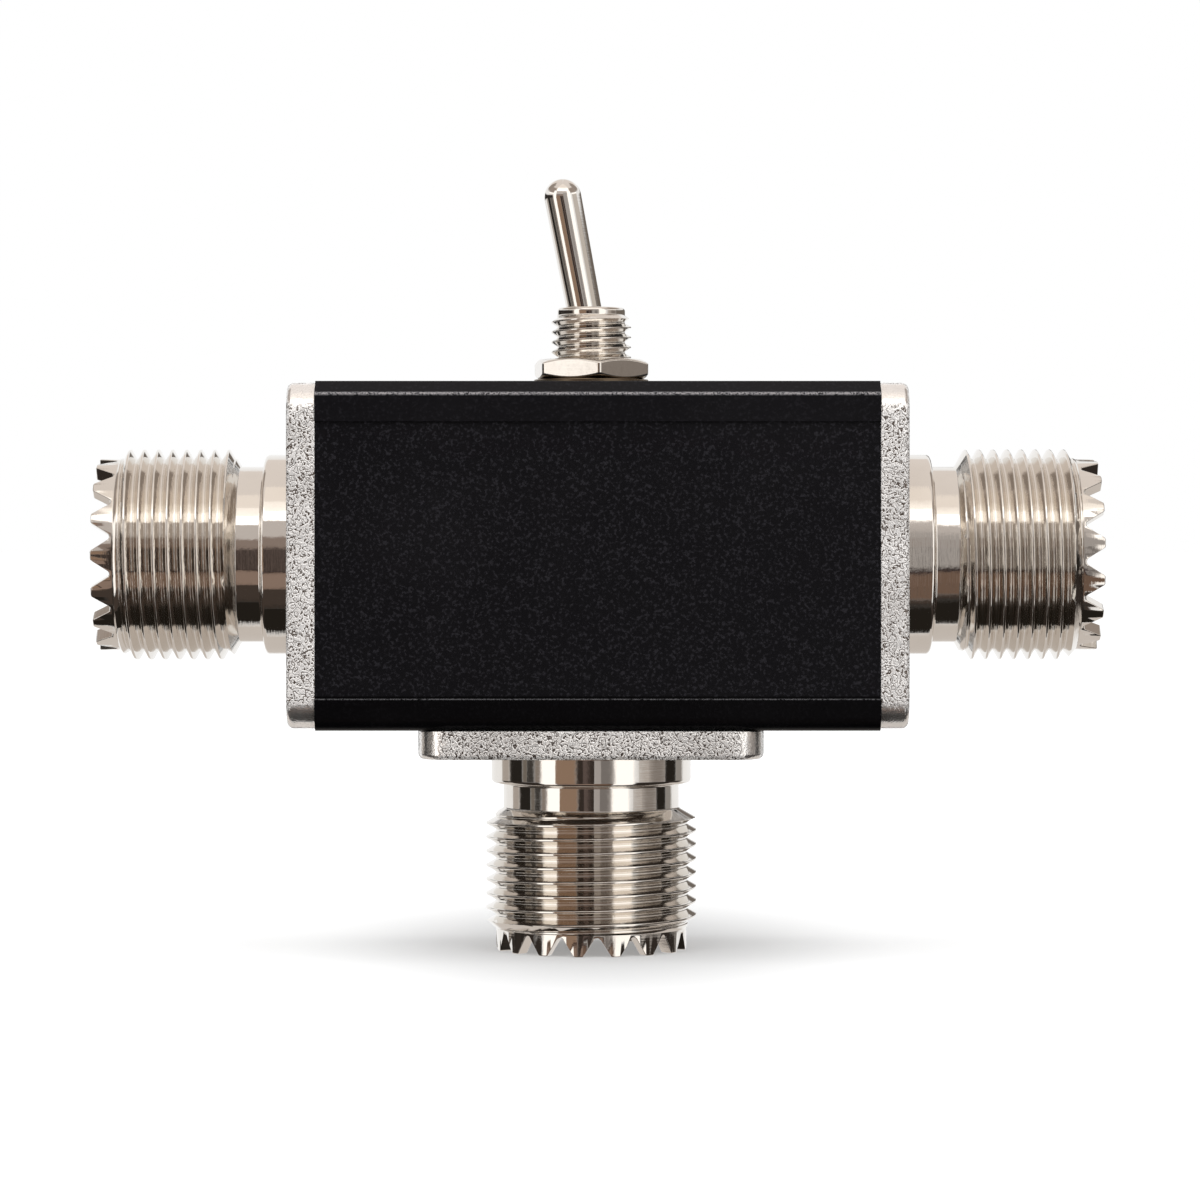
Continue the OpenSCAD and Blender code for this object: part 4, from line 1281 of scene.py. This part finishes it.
@dataclass
class Inside:
    """The pieces that only show when the part is taken apart."""

    looks: dict[str, str] = field(default_factory=lambda: {
        "switch_frame": "zinc", "switch_case": "red", "plunger": "lever",
        "plunger_spring": "spring", "rocker_contact": "silver", "common_terminal": "silver",
        "left_terminal": "silver", "right_terminal": "silver", "lock_washer": "zinc",
        "left_wire": "tinned", "right_wire": "tinned", "common_wire": "tinned",
        "solder_joints": "solder"})

    def build(self) -> None:
        """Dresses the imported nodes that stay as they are."""
        for node, look in self.looks.items():
            piece = frame["nodes"][node]
            piece.data.materials.clear()
            piece.data.materials.append(finish(look))
            LOG.info("%s keeps its packed mesh, %s", node, look)


# Studio.


@dataclass(frozen=True)
class Card:
    """A reflector or flag round the object, as a patch of the sky with soft edges.

    Azimuth is measured from the camera's direction towards the right, in degrees.
    """

    name: str
    azimuth: tuple[float, float]
    elevation: tuple[float, float]
    colour: Colour
    soft: float = 4.0

    def share(self, azimuth: float, elevation: float) -> float:
        """How much of the card shows in a direction, from 0 to 1."""
        low, high = self.azimuth
        middle, half = (low + high) / 2, (high - low) / 2
        away = abs((azimuth - middle + 180) % 360 - 180) - half
        low, high = self.elevation
        tall = max(low - elevation, elevation - high)
        part = 1.0
        for outside in (away, tall):
            t = min(1.0, max(0.0, 0.5 - outside / self.soft))
            part *= t * t * (3 - 2 * t)
        return part


CARDS: tuple[Card, ...] = (
    Card("ceiling", (-180, 180), (35, 100), (0.84, 0.77, 0.72), 8),
    Card("left far slope", (-138, -96), (28, 62), (0.34, 0.29, 0.255), 8),
    Card("right far slope", (96, 138), (28, 62), (0.34, 0.29, 0.255), 8),
    Card("left slope", (-98, -50), (26, 52), (0.36, 0.3, 0.26), 8),
    Card("right slope", (50, 98), (26, 52), (0.36, 0.3, 0.26), 8),
    Card("softbox glow", (-48, 48), (46, 92), (1.0, 0.91, 0.83), 10),
    Card("softbox fade", (-44, 44), (44, 60), (1.35, 1.27, 1.18), 12),
    Card("top softbox", (-42, 42), (39, 52), (1.9, 1.85, 1.8), 3),
    Card("upper wall", (-45, 45), (19, 38), (0.6, 0.55, 0.52), 2),
    Card("middle wall", (-45, 45), (6, 20), (0.28, 0.22, 0.19), 2),
    Card("left window", (-60, -42), (-36, 38), (1.4, 1.35, 1.3), 2),
    Card("right window", (27, 50), (-36, 38), (1.4, 1.35, 1.3), 2),
    Card("brown cupboard", (-42, -17), (-60, 11), (0.3, 0.2, 0.14), 2),
    Card("dark doorway", (-17, 3), (-60, 9), (0.04, 0.03, 0.025), 2),
    Card("door frame", (-8, -3), (-19, 10), (0.12, 0.09, 0.08), 2),
    Card("grey stand", (3, 27), (-60, 27), (0.42, 0.39, 0.37), 3),
    Card("dark shelf", (12, 21), (-60, 7), (0.21, 0.19, 0.18), 3),
    Card("left table edge", (-42, 3), (-38, -20), (0.28, 0.2, 0.16), 6),
    Card("right table edge", (3, 27), (-52, -19), (0.17, 0.11, 0.08), 3),
    Card("shelf line", (-42, 27), (-20, -17), (0.03, 0.02, 0.02), 1),
    Card("right wall near", (57, 94), (-9, 12), (0.44, 0.39, 0.35), 14),
    Card("right wall far", (72, 94), (-9, 12), (0.22, 0.19, 0.17), 14),
    Card("right flag", (94, 113), (-50, 2), (0.02, 0.017, 0.014), 4),
    Card("right far grey", (113, 131), (-50, 2), (0.3, 0.28, 0.26), 4),
    Card("left shelf", (-70, -60), (-9, 12), (0.26, 0.22, 0.19), 3),
    Card("left slot", (-77, -70), (-9, 12), (0.05, 0.045, 0.04), 3),
    Card("left strip", (-86, -77), (-9, 12), (0.18, 0.155, 0.13), 3),
    Card("left flag", (-108, -86), (-50, 12), (0.022, 0.019, 0.016), 3),
    Card("left far grey", (-123, -108), (-50, 2), (0.46, 0.41, 0.37), 6),
    Card("left upper wall", (-98, -60), (11, 21), (0.9, 0.85, 0.8), 2),
    Card("right upper wall", (60, 98), (11, 21), (0.6, 0.55, 0.5), 2),
    Card("left slit", (-98, -60), (21, 26), (1.5, 1.45, 1.4), 2),
    Card("right slit", (60, 98), (21, 26), (1.5, 1.45, 1.4), 2),
    Card("high left flag", (-150, -66), (1.5, 14), (0.032, 0.028, 0.025), 3),
    Card("high right wall", (94, 172), (1.5, 16), (0.17, 0.145, 0.125), 4),
    Card("low left flag", (-125, -62), (-62, -9), (0.035, 0.028, 0.024), 3),
    Card("low right flag", (53, 125), (-62, -9), (0.035, 0.028, 0.024), 3),
    Card("left table front", (-80, 3), (-62, -38), (0.06, 0.045, 0.037), 4),
    Card("right table front", (3, 80), (-62, -52), (0.06, 0.045, 0.037), 4),
    Card("table", (-110, 110), (-100, -60), (0.018, 0.015, 0.012), 5),
    Card("pale table behind", (110, 250), (-74, -22), (0.66, 0.61, 0.57), 6),
    Card("table below", (-180, 180), (-100, -76), (0.018, 0.015, 0.012), 5),
)


@dataclass
class Studio:
    """Camera, floor, world, lamps and the reflecting cards.

    The eye and the reaches are in millimetres, the camera's focal length, its eye row
    and the photograph's side in pixels. The floor's levels are how much it glows for
    the rays that see the background: under the part, near it and far away. The floor
    glows less under the part, which paints a darker pool there, a painted shadow over
    the real one.
    """

    eye: tuple[float, float, float] = (0.16, -335.0, 32.2)
    focal_px: float = 4455.0
    sensor: float = 36.0
    clip: tuple[float, float] = (0.01, 20.0)
    eye_row: float = 520.0
    dome_r: float = 600.0
    dome_z: float = 30.0
    dome_step: int = 1
    world_level: float = 0.5
    floor_half: float = 4000.0
    floor_drop: float = 0.02
    floor_white: float = 0.55
    floor_dull: float = 0.9
    # painted shadow: the floor glows least under the part, rising to the near level at the painted
    # shadow's reach
    painted_shadow_glow: float = 0.28
    floor_near: float = 0.59
    floor_far: float = 0.8
    painted_shadow_reach: tuple[float, float] = (1.0, 24.0)
    painted_shadow_squeeze: float = 0.36
    floor_reach: tuple[float, float] = (35.0, 160.0)
    lamps: tuple[tuple[str, tuple[float, float, float], float, float], ...] = (
        ("top softbox", (0.0, -60.0, 520.0), 640.0, 2.0),
        ("front left softbox", (-260.0, -420.0, 300.0), 320.0, 0.7),
        ("front right softbox", (260.0, -420.0, 300.0), 320.0, 0.7))

    def camera(self) -> None:
        """Places the camera where the photograph was taken from."""
        data = bpy.data.cameras.new("photo_camera")
        data.sensor_width = self.sensor
        data.lens = self.focal_px / PHOTO_SIDE * self.sensor
        data.shift_y = -(PHOTO_SIDE / 2 - self.eye_row) / PHOTO_SIDE
        data.clip_start, data.clip_end = self.clip
        camera = bpy.data.objects.new("photo_camera", data)
        camera.location = Vector(self.eye) * MM
        camera.rotation_euler = (math.pi / 2, 0.0, 0.0)
        bpy.context.scene.collection.objects.link(camera)
        bpy.context.scene.camera = camera

    def seen(self, sheet: Sheet) -> bpy.types.NodeSocket:
        """The share of rays that see the plain background: camera, glossy, glass."""
        path = sheet.add("ShaderNodeLightPath")
        both = sheet.math("MAXIMUM", path.outputs["Is Camera Ray"],
                          path.outputs["Is Glossy Ray"])
        return sheet.math("MAXIMUM", both, path.outputs["Is Transmission Ray"])

    def world(self) -> None:
        """A plain white surround, softer as a light than as a background."""
        world = bpy.data.worlds.new("plain surround")
        bpy.context.scene.world = world
        world.use_nodes = True
        sheet = Sheet(world.node_tree)
        world.node_tree.nodes.clear()
        out = sheet.add("ShaderNodeOutputWorld")
        light = sheet.add("ShaderNodeBackground")
        light.inputs["Strength"].default_value = self.world_level
        backdrop = sheet.add("ShaderNodeBackground")
        for node in (light, backdrop):
            node.inputs["Color"].default_value = (1.0, 1.0, 1.0, 1.0)
        mix = sheet.add("ShaderNodeMixShader")
        sheet.feed(mix, 0, self.seen(sheet))
        sheet.feed(mix, 1, light.outputs[0])
        sheet.feed(mix, 2, backdrop.outputs[0])
        sheet.feed(out, 0, mix.outputs[0])

    def floor(self) -> None:
        """A plain pale floor that keeps the soft shadow, darkened further under the part as a
        painted shadow, and is clear from underneath.
        """
        mesh = bpy.data.meshes.new("floor")
        far = self.floor_half * MM
        mesh.from_pydata([(-far, -far, 0), (far, -far, 0), (far, far, 0), (-far, far, 0)], [],
                         [(0, 1, 2, 3)])
        floor = bpy.data.objects.new("floor", mesh)
        bpy.context.scene.collection.objects.link(floor)
        floor.location.z = -self.floor_drop * MM
        material = bpy.data.materials.new("pale floor")
        material.use_nodes = True
        sheet = Sheet(material.node_tree)
        shader = material.node_tree.nodes["Principled BSDF"]
        shader.inputs["Base Color"].default_value = (*[self.floor_white] * 3, 1.0)
        shader.inputs["Roughness"].default_value = self.floor_dull
        shader.inputs["Specular IOR Level"].default_value = 0.0
        shader.inputs["Emission Color"].default_value = (1.0, 1.0, 1.0, 1.0)
        place = sheet.add("ShaderNodeTexCoord").outputs["Object"]
        # painted shadow: the glow falls towards the part within an ellipse drawn out front to back
        spread = sheet.vector("MULTIPLY", place, (1.0, self.painted_shadow_squeeze, 1.0))
        painted_shadow = sheet.remap(sheet.vector_length(spread), *(r * MM for r in self.painted_shadow_reach),
                            self.painted_shadow_glow, self.floor_near)
        wide = sheet.remap(sheet.vector_length(place), *(r * MM for r in self.floor_reach),
                           0.0, self.floor_far)
        fill = sheet.math("MAXIMUM", painted_shadow, wide)
        sheet.feed(shader, "Emission Strength", sheet.math("MULTIPLY", self.seen(sheet), fill))
        one_sided = sheet.add("ShaderNodeMixShader")
        sheet.feed(one_sided, 0, sheet.add("ShaderNodeNewGeometry").outputs["Backfacing"])
        sheet.feed(one_sided, 1, shader.outputs[0])
        sheet.feed(one_sided, 2, sheet.add("ShaderNodeBsdfTransparent").outputs[0])
        sheet.feed(material.node_tree.nodes["Material Output"], 0, one_sided.outputs[0])
        mesh.materials.append(material)
        floor.visible_glossy = False

    def glow(self, azimuth: float, elevation: float) -> Colour:
        """The colour of the cards in one direction, over the white surround."""
        colour = [1.0, 1.0, 1.0]
        for card in CARDS:
            share = card.share(azimuth, elevation)
            colour = [c + (k - c) * share for c, k in zip(colour, card.colour)]
        return tuple(colour)

    def dome(self) -> None:
        """The cards, as one dome that only shows in reflections."""
        points, colours, faces = [], [], []
        columns = 360 // self.dome_step
        rows = 180 // self.dome_step + 1
        for j in range(rows):
            elevation = -90 + j * self.dome_step
            for i in range(columns):
                azimuth = i * self.dome_step
                a, e = math.radians(azimuth), math.radians(elevation)
                at = Vector((math.sin(a) * math.cos(e), -math.cos(a) * math.cos(e), math.sin(e)))
                points.append((at * self.dome_r + Vector((0, 0, self.dome_z))) * MM)
                colours += [*self.glow(azimuth, elevation), 1.0]
        for j in range(rows - 1):
            for i in range(columns):
                k = (i + 1) % columns
                faces.append((j * columns + i, j * columns + k,
                              (j + 1) * columns + k, (j + 1) * columns + i))
        mesh = bpy.data.meshes.new("studio_cards")
        mesh.from_pydata(points, [], faces)
        mesh.color_attributes.new("glow", "FLOAT_COLOR", "POINT").data.foreach_set(
            "color", colours)
        dome = bpy.data.objects.new("studio_cards", mesh)
        bpy.context.scene.collection.objects.link(dome)
        material = bpy.data.materials.new("studio cards")
        material.use_nodes = True
        sheet = Sheet(material.node_tree)
        material.node_tree.nodes.clear()
        out = sheet.add("ShaderNodeOutputMaterial")
        light = sheet.add("ShaderNodeEmission")
        colour = sheet.add("ShaderNodeAttribute", attribute_name="glow")
        sheet.feed(light, "Color", colour.outputs["Color"])
        sheet.feed(out, 0, light.outputs[0])
        mesh.materials.append(material)
        dome.visible_camera = False
        dome.visible_diffuse = False
        dome.visible_transmission = False
        dome.visible_shadow = False

    def lamp(self, name: str, at: tuple[float, float, float], size: float, power: float) -> None:
        """A soft square lamp that looks at the object.

        Args:
            name: The lamp's name.
            at: Its place in millimetres.
            size: Its side in millimetres.
            power: Its power in watts.
        """
        data = bpy.data.lights.new(name, "AREA")
        data.size = size * MM
        data.energy = power
        lamp = bpy.data.objects.new(name, data)
        lamp.location = Vector(at) * MM
        way = Vector((0.0, 0.0, self.dome_z)) - Vector(at)
        lamp.rotation_euler = way.to_track_quat("-Z", "Y").to_euler()
        lamp.visible_glossy = False
        bpy.context.scene.collection.objects.link(lamp)

    def build(self) -> None:
        """Builds the whole studio and sets the plain view transform."""
        bpy.context.scene.view_settings.view_transform = "Standard"
        self.camera()
        self.world()
        self.floor()
        self.dome()
        for lamp in self.lamps:
            self.lamp(*lamp)
        LOG.info("studio: %d cards, %d lamps", len(CARDS), len(self.lamps))


def clear_start_objects() -> None:
    """Removes the cube, lamp and camera that a new Blender file brings."""
    for name in ("Cube", "Light", "Camera"):
        found = bpy.data.objects.get(name)
        if found and "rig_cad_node" not in found:
            bpy.data.objects.remove(found)


PORTS = (
    Port(Side.LEFT, (-22.6, 0.0, 29.6), Matrix.Rotation(math.radians(-90), 4, "Y"), 0.0, 5.1,
         "nickel_x", "cast_x"),
    Port(Side.RIGHT, (22.6, 0.0, 29.6), Matrix.Rotation(math.radians(90), 4, "Y"), 15.0, 4.4,
         "nickel_x", "cast_x"),
    Port(Side.COMMON, (-0.5, 0.0, 14.8), Matrix.Rotation(math.pi, 4, "X"), 7.5, 4.8,
         "nickel_z", "cast_z"),
)


def main() -> None:
    """Builds the studio and every piece, in order."""
    logging.basicConfig(level=logging.INFO, format="%(name)s: %(message)s")
    clear_start_objects()
    Studio().build()
    Housing().build()
    for port in PORTS:
        port.build()
    Toggle().build()
    Inside().build()


if __name__ == "__main__":
    main()
